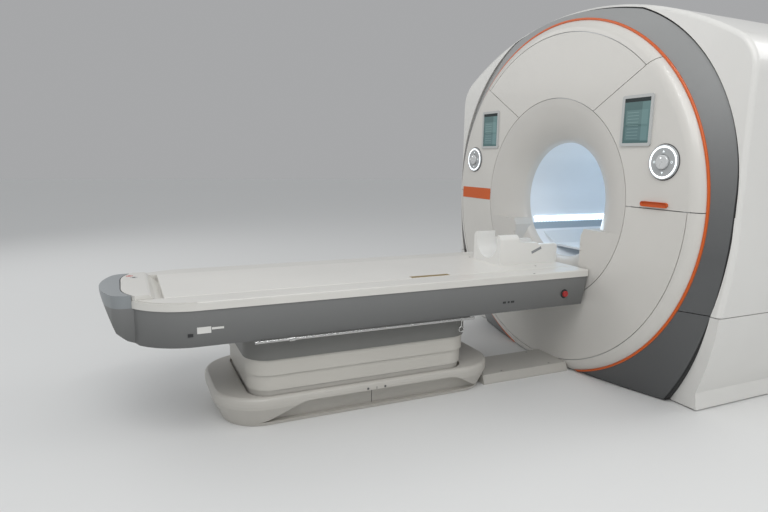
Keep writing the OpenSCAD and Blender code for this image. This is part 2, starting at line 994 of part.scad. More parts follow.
module display_bezel_left() {
    display_bezel(-1);
}

module display_screen_right() {
    display_screen(1);
}

module display_screen_left() {
    display_screen(-1);
}

dial_t = 10;
dial_dish = 4;
dial_edge = 3;
light_w = 9;
light_in = 6;
light_deep = 1.5;
knob_clear = 4;
knob_edge = 4;
shaft_sink = 6;

// Face of a dial: outer edge, lit groove, key ring and the socket of the knob
module dial_ring(side) {
    color("silver") about_bore() translate([side * dial_x, dial_z, face_v]) difference() {
        rotate_extrude($fn = fn_mid) difference() {
            union() {
                square([dial_r - dial_edge, dial_t]);
                square([dial_r, dial_t - dial_edge]);
                translate([dial_r - dial_edge, dial_t - dial_edge]) circle(dial_edge, $fn = fn_small);
            }
            translate([dial_r - light_in - light_w, dial_t - light_deep]) square([light_w, 2 * light_deep]);
            translate([0, dial_t - dial_dish]) square([knob_r + knob_clear, dial_dish + 1]);
        }
        translate([0, 0, -cut]) cylinder(dial_t + 2 * cut, r = shaft_r + run_fit, $fn = fn_small);
    }
}

module dial_knob(side) {
    base = dial_t - dial_dish + fit;
    color("gray") about_bore() translate([side * dial_x, dial_z, face_v]) {
        rotate_extrude($fn = fn_mid) {
            translate([0, base]) square([knob_r, knob_out - knob_edge]);
            translate([0, base]) square([knob_r - knob_edge, knob_out]);
            translate([knob_r - knob_edge, base + knob_out - knob_edge]) circle(knob_edge, $fn = fn_small);
        }
        translate([0, 0, -shaft_sink]) cylinder(base + shaft_sink + 1, r = shaft_r, $fn = fn_small);
    }
}

module dial_ring_right() {
    dial_ring(1);
}

module dial_ring_left() {
    dial_ring(-1);
}

module dial_knob_right() {
    dial_knob(1);
}

module dial_knob_left() {
    dial_knob(-1);
}

/* Table base and lift */

duct_w = 290;
duct_x = 125;
duct_h = 50;
duct_slope = 18;
duct_lip = 8;
duct_stop = 60;
base_near = skirt_near - 200;
base_far = skirt_far + 130;
lobe_r = 230;
base_taper = 45;
base_top_w = base_w + base_taper;
base_cy = -(base_near + base_far) / 2;

// Half of the base's section from its middle out to half_w: tapered to the floor, rounded on top
function base_half(half_w) = [[half_w - base_taper, 0], [half_w - 2, base_h - 55], [half_w, base_h - 40],
    [half_w, base_h - 24], [half_w - 2, base_h - 12], [half_w - 7, base_h - 4], [half_w - 15, base_h]];

function mirrored_path(path) = [for (i = [len(path) - 1:-1:0]) [-path[i][0], path[i][1]]];

// Base with a rounded lobe at each end, drawn larger by grow
module base_block(grow) {
    half_x = base_top_w + grow;
    half_y = (base_far - base_near) / 2 + grow;
    r = lobe_r + grow;
    translate([0, face_y + base_cy, 0]) {
        rotate([90, 0, 0]) linear_extrude(2 * (half_y - r), center = true)
            polygon(concat(base_half(half_x), mirrored_path(base_half(half_x))));
        rotate([90, 0, 90]) linear_extrude(2 * (half_x - r), center = true)
            polygon(concat(base_half(half_y), mirrored_path(base_half(half_y))));
        for (x = [-1, 1], y = [-1, 1]) {
            translate([x * (half_x - r), y * (half_y - r), 0]) rotate_extrude($fn = fn_mid)
                polygon(concat([[0, 0]], base_half(r), [[0, base_h]]));
        }
    }
}

recess_low = 18;
recess_top = 112;
recess_steps = 10;
recess_in = 22;
recess_x = base_w - recess_in;
recess_far_run = 250;
recess_near_run = 230;
recess_far = 175;
recess_near = -95;

// Rise of the recess's edge from the lobe to the middle, as an even S-curve
function rise(t) = recess_low + (recess_top - recess_low) * t * t * (3 - 2 * t);

// Side recess seen from the side: local X runs towards the gantry from the base's far end
module base_recess() {
    whole = base_far - base_near;
    polygon(concat(
        [for (i = [0:recess_steps]) [recess_far + recess_far_run * i / recess_steps, rise(i / recess_steps)]],
        [for (i = [0:recess_steps]) [whole - recess_near_run + recess_near + recess_near_run * i / recess_steps,
            rise(1 - i / recess_steps)]]));
}

module floor_duct() {
    color("gainsboro") difference() {
        translate([duct_x, 0, 0]) rotate([90, 0, 0])
            translate([0, 0, face_v + fit]) linear_extrude(base_near + lobe_r) polygon([[-duct_w / 2, 0],
                [duct_w / 2, 0], [duct_w / 2, duct_lip], [duct_w / 2 - duct_slope, duct_h],
                [duct_slope - duct_w / 2, duct_h], [-duct_w / 2, duct_lip]]);
        base_block(fit);
        translate([0, face_y + base_cy, -cut]) linear_extrude(far)
            square([2 * base_w - duct_stop, base_far - base_near - 2 * duct_stop], center = true);
    }
}

pocket_side = 55;
pocket_w = 2 * (base_w - pocket_side);
pocket_r = 40;
pocket_len = 1010;
pocket_gap = 10;
groove_deep = 18;
groove_gap = 3;
collar_lap = 12;
collar_top = skirt_lower_z + lift_up / 3 + collar_lap;

module table_base() {
    color("gainsboro") {
        difference() {
            base_block(0);
            for (side = [-1, 1]) {
                mirrored(side) translate([recess_x, face_y - base_far, 0]) rotate([90, 0, 90])
                    linear_extrude(far) base_recess();
            }
            // space for the lift and its base plate
            translate([0, face_y + base_cy, plate_z]) linear_extrude(base_h)
                rounded_rect(pocket_w, pocket_len, pocket_r);
            // groove that takes the lower skirt when the table is low
            translate([0, face_y - skirt_cy, base_h - groove_deep]) linear_extrude(base_h) difference() {
                skirt_plan(2 * skirt_step - groove_gap);
                skirt_plan(2 * skirt_step + skirt_t + groove_gap);
            }
        }
        // collar inside the skirt, covered at the table's highest place
        skirt_section(3 * skirt_step, base_h - 1, collar_top);
    }
}

plate_z = 8;
plate_t = 12;
cylinder_floor = 6;

module table_base_plate() {
    color("dimgray") translate([0, face_y + base_cy, plate_z]) linear_extrude(plate_t)
        rounded_rect(pocket_w - 2 * pocket_gap, pocket_len - 2 * pocket_gap, pocket_r - pocket_gap);
}

cylinder_z = plate_z + plate_t;
cylinder_clear = 7;
cylinder_top = beam_z - lift_down - cylinder_clear;
rod_end_gap = 2;
rod_z = cylinder_z + cylinder_floor + rod_end_gap + lift_down;
cylinder_rim = 25;
cylinder_rim_t = 14;
rod_clear = 0.05;

module lift_cylinders() {
    color("steelblue") for (end = [-1, 1]) {
        translate([0, face_y + base_cy + end * lift_pair_y, cylinder_z]) difference() {
            union() {
                cylinder(cylinder_top - cylinder_z, r = cylinder_r, $fn = fn_mid);
                cylinder(cylinder_rim_t, r = cylinder_r + cylinder_rim, $fn = fn_mid);
            }
            translate([0, 0, cylinder_floor]) cylinder(far, r = rod_r + rod_clear, $fn = fn_mid);
        }
    }
}

module lift_rods() {
    color("lightsteelblue") for (end = [-1, 1]) {
        translate([0, face_y + base_cy + end * lift_pair_y, rod_z])
            cylinder(beam_z - rod_z, r = rod_r, $fn = fn_mid);
    }
}

/* Skirt of the pedestal, three sections that slide into each other */

module skirt_plan(shrink) {
    rounded_rect(2 * (skirt_w - shrink), 2 * (skirt_half - shrink), skirt_r - shrink);
}

module skirt_section(shrink, z0, z1) {
    translate([0, face_y - skirt_cy, z0]) linear_extrude(z1 - z0) difference() {
        skirt_plan(shrink);
        skirt_plan(shrink + skirt_t);
    }
}

// Glide strip round the top of a section, running in the section outside it
module skirt_glide(shrink, z1) {
    translate([0, face_y - skirt_cy, z1 - glide_h]) linear_extrude(glide_h) difference() {
        skirt_plan(shrink + fit - skirt_gap);
        skirt_plan(shrink + skirt_t / 2);
    }
}

skirt_step = skirt_t + skirt_gap;
glide_h = 10;
// Tops of the inner sections clear the beam at its lowest and stay covered at its highest
skirt_middle_lap = 69;
skirt_lower_lap = 10;
skirt_middle_top = skirt_upper_z + skirt_middle_lap;
skirt_lower_top = skirt_upper_z + skirt_lower_lap;

beam_fillet = 50;

// Concave fillet that carries the skirt into the beam's underside at one end
module skirt_flare() {
    section = [beam_fillet + 1, beam_fillet];
    corner = skirt_w - skirt_r;
    translate([0, skirt_half - skirt_r, beam_z - beam_fillet]) intersection() {
        union() {
            for (side = [-1, 1]) {
                mirrored(side) translate([corner, 0, 0]) intersection() {
                    rotate_extrude($fn = fn_mid) translate([skirt_r - 1, 0]) difference() {
                        square(section);
                        translate([beam_fillet + 1, 0]) circle(beam_fillet - edge_bite, $fn = fn_mid);
                    }
                    translate([-1, 0, -cut]) cube([far, far, far]);
                }
            }
            translate([-corner, 0, 0]) rotate([90, 0, 90]) linear_extrude(2 * corner)
                translate([skirt_r - 1, 0]) difference() {
                    square(section);
                    translate([beam_fillet + 1, 0]) circle(beam_fillet - edge_bite, $fn = fn_mid);
                }
        }
        translate([-skirt_w, 0, -cut]) cube([2 * skirt_w, far, far]);
    }
}

module skirt_upper() {
    color("dimgray") {
        skirt_section(0, skirt_upper_z, skirt_top);
        translate([0, face_y - skirt_cy, 0]) {
            skirt_flare();
            mirror([0, 1, 0]) skirt_flare();
        }
    }
}

module skirt_middle() {
    color("gainsboro") {
        skirt_section(skirt_step, skirt_middle_z, skirt_middle_top);
        skirt_glide(skirt_step, skirt_middle_top);
    }
}

module skirt_lower() {
    color("gainsboro") {
        skirt_section(2 * skirt_step, skirt_lower_z, skirt_lower_top);
        skirt_glide(2 * skirt_step, skirt_lower_top);
    }
}

/* Table top and beam */

// Plan of the table with rounded foot corners, drawn smaller by inset, its head end moved back by head
module table_plan(inset, head = 0) {
    x = top_x - inset;
    y1 = head_y - head;
    y0 = foot_y + inset;
    r = foot_r - inset;
    translate([-x, y0 + r]) square([2 * x, y1 - y0 - r]);
    translate([r - x, y0]) square([2 * (x - r), r + 1]);
    for (side = [-1, 1]) {
        translate([side * (x - r), y0 + r]) circle(r, $fn = fn_big);
    }
}

trough_floor = 8;
trough_start = 110;
ramp_len = 55;
panel_edge = 4;
panel_deep = 6;

module table_top_frame() {
    edge = 6;
    color("white") difference() {
        union() {
            translate([0, 0, top_under]) linear_extrude(top_t - edge) table_plan(0);
            translate([0, 0, top_under]) linear_extrude(top_t) table_plan(edge);
            translate([0, 0, table_h - edge]) table_edge(edge);
        }
        // trough for the board, open at the head end
        translate([0, 0, top_under + trough_floor]) linear_extrude(top_t)
            translate([-board_x - board_gap, foot_y + trough_start])
                square([board_w + 2 * board_gap, table_len]);
        // seat of the foot panel
        translate([0, 0, table_h - panel_deep]) linear_extrude(top_t)
            foot_panel_plan(panel_edge - board_gap / 2);
    }
}

// Rounded upper edge along both sides of the table top
module table_edge(r) {
    for (side = [-1, 1]) {
        translate([side * (top_x - r), head_y, 0]) rotate([90, 0, 0])
            cylinder(table_len - foot_r, r = r, $fn = fn_small);
    }
}

module foot_panel_plan(inset) {
    intersection() {
        table_plan(inset);
        translate([inset - board_x - panel_edge, foot_y])
            square([2 * (board_x + panel_edge - inset), trough_start]);
    }
}

// Raised panel at the foot, with a ramp down into the trough of the board
module foot_panel() {
    low = top_under + trough_floor + fit;
    panel_top = table_h + cap_proud;
    color("white") {
        translate([0, 0, table_h - panel_deep]) linear_extrude(panel_deep + cap_proud)
            foot_panel_plan(panel_edge);
        translate([-board_x, foot_y + trough_start + fit, 0]) rotate([90, 0, 90]) linear_extrude(board_w)
            polygon([[-board_gap, table_h - panel_deep + fit], [0, table_h - panel_deep + fit], [0, low],
                [ramp_len, low], [ramp_len, low + 3], [ramp_len / 2, table_h - 8], [10, panel_top - 4],
                [0, panel_top], [-board_gap, panel_top]]);
    }
}

slot_x = 240;
slot_w = 36;
slot_len = 226;
slot_y = face_y - 1053;
bevel = 34;
board_end = 2;
board_proud = 1;
board_edge = 3;
board_side = 10;

module tabletop_board() {
    z0 = top_under + trough_floor + fit;
    z1 = table_h + board_proud;
    color("white") difference() {
        translate([0, head_y - board_end, 0]) rotate([90, 0, 0])
            linear_extrude(table_len - trough_start - ramp_len - 2 * board_gap - board_end)
                polygon([[-board_x, z1 - board_edge], [board_edge - board_x, z1], [board_x - board_edge, z1],
                    [board_x, z1 - board_edge], [board_x, z1 - board_side], [board_x - bevel, z0],
                    [bevel - board_x, z0], [-board_x, z1 - board_side]]);
        translate([slot_x - slot_w / 2, slot_y, z0 - cut]) cube([slot_w, slot_len, far]);
    }
}

chassis_x = 250;
chassis_t = 24;
web_t = 40;
tray_t = 3;
end_lean = 30;
end_recess = 4;
// Lowest place of the head end, at the height of the beam's underside
end_low_y = head_y - end_lean;
chassis_near = end_low_y - end_recess - end_plate_t - board_gap;
chassis_far = foot_y + 260;
web_step = 600;
web_in = 18;

module table_frame() {
    len = chassis_near - chassis_far;
    color("darkslategray") {
        translate([0, 0, beam_z + tray_t / 2]) difference() {
            translate([-chassis_x, chassis_far, 0]) cube([2 * chassis_x, len, beam_h - tray_t / 2]);
            translate([chassis_t - chassis_x, chassis_far + chassis_t, chassis_t])
                cube([2 * (chassis_x - chassis_t), len - 2 * chassis_t, far]);
        }
        for (side = [-1, 1], y = [chassis_far + web_t, chassis_far + web_t + web_step,
            chassis_far + web_t + 2 * web_step, chassis_near - 2 * web_t]) {
            mirrored(side) translate([chassis_x - 1, y, beam_z + tray_t + web_in])
                cube([frame_x - chassis_x + 1 - fit, web_t, beam_h - tray_t - 2 * web_in]);
        }
        intersection() {
            beam_body(beam_t + fit);
            above(beam_z);
            below(beam_z + tray_t);
            translate([-far, chassis_near - far, 0]) cube([2 * far, far, far]);
        }
    }
}

toe_y = [150, 105, 62];
toe_z = [0, 18, 52];
cap_proud = 18;
cap_edge = 8;

// Side profile of the beam: it slants in at the foot, with a cut lower corner
module beam_profile(inset) {
    y1 = head_y + inset;
    y0 = foot_y - cap_len + 1.3 * inset;
    polygon([[y1, top_under], [y1 - end_lean, beam_z - inset], [y0 + toe_y[0], beam_z - inset],
        [y0 + toe_y[0], beam_z + toe_z[0]], [y0 + toe_y[1], beam_z + toe_z[1]],
        [y0 + toe_y[2], beam_z + toe_z[2]],
        [y0, table_h + cap_proud - cap_edge], [y0, table_h + cap_proud], [y1, table_h + cap_proud]]);
}

beam_over = top_x - beam_x;
nose_x = 250;
nose_r = 520;
nose_corner = 60;
nose_y = foot_y - cap_len + nose_r;
nose_c = [nose_x - nose_corner, -sqrt(pow(nose_r - nose_corner, 2) - pow(nose_x - nose_corner, 2))];

// Plan of the beam: the table's own, with a rounded nose beyond its foot, drawn smaller by inset
module beam_plan(inset) {
    table_plan(beam_over + inset, -cut - inset);
    translate([0, nose_y]) {
        intersection() {
            circle(nose_r - inset, $fn = fn_big);
            wedge(2 * nose_r, atan2(nose_c[1], -nose_c[0]), atan2(nose_c[1], nose_c[0]));
        }
        for (side = [-1, 1]) {
            translate([side * nose_c[0], nose_c[1]]) circle(nose_corner - inset, $fn = fn_mid);
        }
        translate([inset - nose_x, nose_c[1]]) square([2 * (nose_x - inset), foot_r / 2]);
    }
}

module beam_body(inset) {
    intersection() {
        translate([0, 0, beam_z - cut]) linear_extrude(far)
            beam_plan(inset);
        translate([-far, 0, 0]) rotate([90, 0, 90]) linear_extrude(2 * far) beam_profile(inset);
    }
}

module beam_side(side) {
    color("dimgray") difference() {
        intersection() {
            beam_body(0);
            below(top_under);
            side_half(side);
        }
        beam_body(beam_t);
        translate([0, stop_y, stop_z]) rotate([0, 90, 0])
            cylinder(2 * far, r = stop_stem + run_fit, center = true, $fn = fn_small);
    }
}

module beam_side_right() {
    beam_side(1);
}

module beam_side_left() {
    beam_side(-1);
}

module beam_end_cap() {
    color("lightslategray") difference() {
        intersection() {
            beam_body(0);
            above(top_under + fit);
            translate([-far, foot_y - cap_len - cut, 0]) cube([2 * far, cap_len + foot_r, far]);
        }
        linear_extrude(far) table_plan(-fit);
    }
}

// Leaning plate between the beam sides at the head end
module head_end_plate() {
    z0 = beam_z + fit;
    y1 = head_y - end_recess;
    color("gainsboro") translate([fit - frame_x, 0, 0]) rotate([90, 0, 90]) linear_extrude(2 * (frame_x - fit))
        polygon([[y1, top_under], [y1 - end_plate_t, top_under],
            [y1 - end_plate_t - end_lean, z0], [y1 - end_lean, z0]]);
}

rail_out = 8;
rail_x = beam_x + rail_out;
rail_z = beam_z - rail_out;
rail_in = 25;
rail_near = face_y - skirt_near - rail_in;
rail_far = face_y - skirt_far + rail_in;
rail_r = 7;
bracket_in = 30;
bracket_w = 18;
collar_in = 164;
collar_len = 26;
collar_wall = 4;

module accessory_rail() {
    color("silver") {
        translate([rail_x, rail_near, rail_z]) rotate([90, 0, 0])
            cylinder(rail_near - rail_far, r = rail_r, $fn = fn_small);
        // brackets to the sides of the skirt
        for (y = [rail_near - bracket_in, rail_far + bracket_in]) {
            translate([skirt_w + fit, y - bracket_w / 2, rail_z - rail_r])
                cube([rail_x - skirt_w - fit, bracket_w, 2 * rail_r]);
        }
        translate([rail_x, rail_far + collar_in, rail_z]) rotate([90, 0, 0])
            cylinder(collar_len, r = rail_r + collar_wall, center = true, $fn = fn_small);
    }
}

hook_y = rail_near - 75;
hook_r = 13;
wire_r = 2.5;
hook_w = 14;
hook_wall = 3;
hook_drop = 34;

module rail_hook() {
    color("gainsboro") {
        translate([rail_x, hook_y, rail_z]) rotate([90, 0, 0]) difference() {
            cylinder(hook_w, r = rail_r + hook_wall, center = true, $fn = fn_small);
            cylinder(2 * hook_w, r = rail_r + fit, center = true, $fn = fn_small);
        }
        translate([rail_x, hook_y, rail_z - rail_r - hook_drop])
            cylinder(hook_drop - 1, r = wire_r, $fn = fn_small);
        translate([rail_x, hook_y, rail_z - rail_r - hook_drop - hook_r + 1]) rotate([0, 90, 0])
            rotate_extrude($fn = fn_small) translate([hook_r, 0]) circle(wire_r, $fn = fn_small);
    }
}

module stop_button(side) {
    color("firebrick") mirrored(side) translate([beam_x, stop_y, stop_z]) rotate([0, 90, 0]) {
        translate([0, 0, stop_travel + 1]) rotate_extrude($fn = fn_mid) {
            square([stop_r - stop_edge, stop_h]);
            square([stop_r, stop_h - stop_edge]);
            translate([stop_r - stop_edge, stop_h - stop_edge]) circle(stop_edge, $fn = fn_small);
        }
        translate([0, 0, -beam_t - stem_in])
            cylinder(beam_t + stem_in + stop_travel + 2, r = stop_stem, $fn = fn_small);
    }
}

module stop_button_right() {
    stop_button(1);
}

module stop_button_left() {
    stop_button(-1);
}

coil_z = table_h + board_proud;
coil_y = head_y - 2;
coil_len = 410;
coil_w = 270;
coil_mid = -15;
coil_wall = 32;
coil_floor = 18;
cradle_len = 130;
cradle_h = 172;
cradle_round = 30;
cradle_hollow_r = 103;
block_h = 112;
slot_turn = 22;
cradle_lift = 8;
coil_slot = [16, 76, 17];
coil_slot_in = 150;
coil_slot_z = 78;

// Side of the coil base seen from the side: local X runs away from the gantry
module coil_side_profile() {
    polygon([[0, 0], [coil_len, 0], [coil_len, cradle_h - cradle_round],
        [coil_len - cradle_len - 10, cradle_h - 40], [coil_len - cradle_len - 60, block_h + 12],
        [150, block_h + 12], [140, block_h], [8, block_h], [0, block_h - 12]]);
}

module head_coil_base() {
    hollow_z = coil_z + coil_floor + cradle_lift + cradle_hollow_r;
    color("white") difference() {
        union() {
            translate([coil_mid - coil_w / 2, coil_y - coil_len, coil_z]) cube([coil_w, coil_len, coil_floor]);
            // cradle at the foot side, a block with rounded shoulders
            translate([coil_mid, coil_y - coil_len + cradle_len, coil_z]) rotate([90, 0, 0])
                linear_extrude(cradle_len) {
                    translate([-coil_w / 2, 0]) square([coil_w, cradle_h - cradle_round]);
                    translate([cradle_round - coil_w / 2, 0]) square([coil_w - 2 * cradle_round, cradle_h]);
                    for (side = [-1, 1]) {
                        translate([side * (coil_w / 2 - cradle_round), cradle_h - cradle_round])
                            circle(cradle_round, $fn = fn_small);
                    }
                }
            for (side = [-1, 1]) {
                translate([coil_mid + side * (coil_w - coil_wall) / 2, coil_y, coil_z]) rotate([90, 0, -90])
                    linear_extrude(coil_wall, center = true) coil_side_profile();
            }
        }
        translate([coil_mid, coil_y, hollow_z]) rotate([90, 0, 0])
            cylinder(far, r = cradle_hollow_r, center = true, $fn = fn_mid);
        translate([coil_mid - cradle_hollow_r, coil_y - far, hollow_z])
            cube([2 * cradle_hollow_r, 2 * far, far]);
        // slot in each side wall
        for (side = [-1, 1]) {
            translate([coil_mid + side * coil_w / 2, coil_y - coil_slot_in, coil_z + coil_slot_z])
                rotate([slot_turn, 0, 0]) cube(coil_slot, center = true);
        }
    }
}

magnet_vessel();
magnet_feet();
cold_head();
gradient_coil();
coil_supports();
body_coil();
bore_liner();
bore_lights();
bore_deck();
cover_frame_front();
cover_frame_rear();
front_top_panel();
front_top_rim();
front_right_panel();
front_left_panel();
front_lower_panel();
front_lower_rim_right();
front_lower_rim_left();
front_foot_rim();
bore_flare_front();
bore_flare_rear();
accent_ring();
side_band_upper();
side_band_lower_right();
side_band_lower_left();
band_gap_seal();
rear_shell_upper();
rear_shell_lower_right();
rear_shell_lower_left();
rear_panel();
display_bezel_right();
display_bezel_left();
display_screen_right();
display_screen_left();
dial_ring_right();
dial_ring_left();
dial_knob_right();
dial_knob_left();
floor_duct();
table_base();
table_base_plate();
lift_cylinders();
lift_rods();
skirt_upper();
skirt_middle();
skirt_lower();
table_frame();
beam_side_right();
beam_side_left();
beam_end_cap();
head_end_plate();
table_top_frame();
tabletop_board();
foot_panel();
accessory_rail();
rail_hook();
stop_button_right();
stop_button_left();
head_coil_base();
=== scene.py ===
"""Looks of a whole-body MRI scanner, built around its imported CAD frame."""

import json
import math

import bpy
from mathutils import Matrix, Vector


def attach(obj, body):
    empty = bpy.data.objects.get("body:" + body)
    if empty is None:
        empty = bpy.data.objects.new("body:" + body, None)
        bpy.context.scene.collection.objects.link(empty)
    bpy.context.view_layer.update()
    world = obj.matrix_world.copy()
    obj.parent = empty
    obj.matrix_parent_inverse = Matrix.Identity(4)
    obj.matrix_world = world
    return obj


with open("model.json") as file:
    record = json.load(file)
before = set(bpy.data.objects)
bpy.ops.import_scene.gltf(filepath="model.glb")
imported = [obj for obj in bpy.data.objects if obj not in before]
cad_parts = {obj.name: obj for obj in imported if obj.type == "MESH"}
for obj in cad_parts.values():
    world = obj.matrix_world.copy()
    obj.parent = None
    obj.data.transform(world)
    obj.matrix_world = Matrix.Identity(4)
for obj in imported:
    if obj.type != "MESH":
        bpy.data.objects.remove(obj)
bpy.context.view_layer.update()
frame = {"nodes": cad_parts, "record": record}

bl_info = {
    "name": "MRI scanner looks",
    "version": (1, 0, 0),
    "blender": (4, 5, 0),
    "location": "View3D > Sidebar > Scanner",
    "description": "Materials, lit details and studio for the MRI scanner",
    "category": "Object",
}

GANTRY = "gantry_and_pedestal"
TABLE = "table"

SIDES = ((1.0, "right"), (-1.0, "left"))
# Lift that keeps a flat mark clear of the face under it
HAIR = 0.0002

# Places on the gantry, in metres in the frame of the CAD
FACE_Y = -0.930
DISPLAY_X = 0.635
DISPLAY_Z = 1.444
DIAL_X = 0.818
DIAL_Z = 1.240
DIAL_FRONT = -0.940
KNOB_FRONT = -0.9523
# Rings of a dial: radius, width and depth
DIAL_LIGHT = (0.0735, 0.0086, 0.0012)
DIAL_EDGE = (0.0862, 0.0036, 0.0018)
LIGHT_SUNK = 0.0009
EDGE_PROUD = 0.0010
# Ticks and key icons of a dial
TICKS = 24
TICK_RADIUS = 0.0615
TICK_SIZE = (0.006, 0.0006, 0.0013)
ICON_RADIUS = 0.050
ICON_RING = (0.0050, 0.0020)
ICON_DEPTH = 0.0008
ARROW_RADIUS = 0.0068
# Painted highlight on a knob, a glowing dot: place across and up, radius and depth
KNOB_HIGHLIGHT = (-0.004, 0.020)
KNOB_HIGHLIGHT_SIZE = (0.0030, 0.0010)
# Orange fields: corners of the left one across and up, middle and size of the right one
LABEL_LEFT = ((-0.9615, 0.961), (-0.609, 1.039))
LABEL_PROUD = 0.0012
PILL_AT = (0.7845, 1.0345)
PILL_SIZE = (0.157, 0.025)
# Places on the table
TOP_Z = 0.638
BOARD_Z = 0.639
BEAM_X = 0.383
PANEL_Z = 0.656
# Hand slot in the board: its sides, the heights of its edging, the edging's width and clearance
HAND_SLOT = (0.222, 0.258, -1.983, -1.757)
SLOT_HEIGHTS = (0.6330, 0.6394)
SLOT_RIM = 0.004
SLOT_FIT = 0.0003
# Small holes of board and top, drawn as dark discs of painted shade: places, radius and depth
TOP_HOLES = ((-0.193, -1.350, BOARD_Z), (0.195, -1.152, BOARD_Z), (0.374, -1.304, TOP_Z))
TOP_HOLE_SIZE = (0.0055, 0.0008)
# Collar of a stop button: place along and up, then radius, width and depth
STOP_AT = (-1.097, 0.512)
STOP_COLLAR = (0.0215, 0.0070, 0.0024)
# Dark marks on the beam, as place along and length, and the films of its labels
BEAM_MARKS = ((-1.497, 0.020), (-1.470, 0.012), (-1.445, 0.022))
BEAM_MARK_Z = (0.491, 0.502)
LABEL_FILM = 0.0006
LABEL_SUNK = 0.0005
# Marks on the foot panel
FOOT_MARK_RADIUS = 0.014
FOOT_MARK_DEPTH = 0.0008
FOOT_DOT_DEPTH = 0.0006
FOOT_DOT_RISE = 0.0001
# Head coil base: its middle, half its width, and the sloping slots in its sides
COIL_X = -0.015
COIL_HALF = 0.135
COIL_SLOT_Y = -1.0900
COIL_SLOT_Z = 0.717
COIL_SLOT_TURN = math.radians(22.0)
COIL_SLOT_IN = 0.0050
COIL_SLOT_SIZE = (0.0050, 0.0755, 0.0165)
COIL_SLOT_BEVEL = 0.0008
# Upright faces of the base: its upper edge, and the wall of the side recess
BASE_X = 0.345
RECESS_X = 0.278
BASE_SCREW_Y = (-2.256, -2.164)
BASE_SCREW_Z = 0.121
BASE_SCREW_SIZE = (0.0060, 0.0016)
BASE_SOCKET_SIZE = (0.0032, 0.0006)
SEAM_Y = (-2.2105, -2.2080)
SEAM_PROUD = 0.0006
DUCT_SCREWS = ((0.020, -1.040), (0.020, -1.380), (0.230, -1.040), (0.230, -1.380))
DUCT_SCREW_SIZE = (0.0055, 0.0010)
DUCT_TOP = 0.0503


# Node maths

class Value:
    """A number that changes over the surface; arithmetic on it adds Math nodes."""

    def __init__(self, finish, socket):
        self.finish = finish
        self.socket = socket

    def op(self, operation, *values):
        return self.finish.add("ShaderNodeMath", {"operation": operation}, dict(enumerate(values)))

    def __add__(self, other):
        return self.op("ADD", self, other)

    __radd__ = __add__

    def __sub__(self, other):
        return self.op("SUBTRACT", self, other)

    def __rsub__(self, other):
        return self.op("SUBTRACT", other, self)

    def __mul__(self, other):
        return self.op("MULTIPLY", self, other)

    __rmul__ = __mul__

    def __truediv__(self, other):
        return self.op("DIVIDE", self, other)

    def __rtruediv__(self, other):
        return self.op("DIVIDE", other, self)

    def fract(self):
        return self.op("FRACT", self)

    def above(self, limit):
        return self.op("GREATER_THAN", self, limit)

    def below(self, limit):
        return self.op("LESS_THAN", self, limit)

    def between(self, low, high):
        return self.above(low) * self.below(high)

    def ramp(self, low, high):
        """0 at low, 1 at high, held beyond both."""
        return self.finish.add("ShaderNodeMapRange", {"clamp": True},
                               {"Value": self, "From Min": low, "From Max": high})


class Finish:
    """Node tree of one material or of the world, with the one method that adds its nodes."""

    def __init__(self, tree):
        self.tree = tree

    def link(self, value, socket):
        """Sets a socket to a number or colour, or links a value to it."""
        if isinstance(value, Value):
            self.tree.links.new(value.socket, socket)
        elif isinstance(value, tuple) and len(socket.default_value) == 4:
            socket.default_value = (*value, 1.0)
        else:
            socket.default_value = value

    def add(self, kind, chosen=None, sockets=None, output=0):
        """Adds a node of a type with its settings and sockets, and gives one of its outputs."""
        node = self.tree.nodes.new(kind)
        for name, value in (chosen or {}).items():
            setattr(node, name, value)
        for name, value in (sockets or {}).items():
            self.link(value, node.inputs[name])
        return Value(self, node.outputs[output])

    def mix(self, factor, first, second):
        """Colour that goes from first to second with factor."""
        colour_a, colour_b, colour_out = 6, 7, 2
        return self.add("ShaderNodeMix", {"data_type": "RGBA"},
                        {0: factor, colour_a: first, colour_b: second}, colour_out)

    def noise(self, scale, detail=2.0):
        place = self.add("ShaderNodeTexCoord", output="Object")
        return self.add("ShaderNodeTexNoise", None,
                        {"Vector": place, "Scale": scale, "Detail": detail}, "Fac")

    def place(self):
        """Object coordinates as three numbers."""
        vector = self.add("ShaderNodeTexCoord", output="Object")
        split = self.add("ShaderNodeSeparateXYZ", None, {0: vector})
        return [Value(self, output) for output in split.socket.node.outputs]


class Surface(Finish):
    """A new material and the sockets of its shader."""

    def __init__(self, name, rough=0.4, **sockets):
        self.material = bpy.data.materials.new(name)
        self.material.use_nodes = True
        super().__init__(self.material.node_tree)
        self.shader = self.tree.nodes["Principled BSDF"]
        self.set("Roughness", rough)
        for label, value in sockets.items():
            self.set(label.replace("_", " ").title(), value)

    def set(self, socket, value):
        self.link(value, self.shader.inputs[socket])


def shade(colour, factor):
    return tuple(min(1.0, c * factor) for c in colour)


MOTTLE = 0.05
MOTTLE_SCALE = 2.3
SHEEN_SCALE = 46.0
SHEEN_VARIES = 0.10
COAT_ROUGH = 0.12


def coating(name, colour, rough=0.38, metal=0.0, coat=0.0):
    """Moulded or painted surface with slight unevenness in tone and sheen."""
    surface = Surface(name, metallic=metal, coat_weight=coat, coat_roughness=COAT_ROUGH)
    cloud = surface.noise(MOTTLE_SCALE)
    surface.set("Base Color", surface.mix(cloud, shade(colour, 1.0 - MOTTLE), shade(colour, 1.0 + MOTTLE)))
    surface.set("Roughness", surface.noise(SHEEN_SCALE, 3.0) * SHEEN_VARIES + (rough - SHEEN_VARIES / 2))
    return surface.material


FLAKE_SCALE = 420.0
FLAKE_VARIES = 0.10


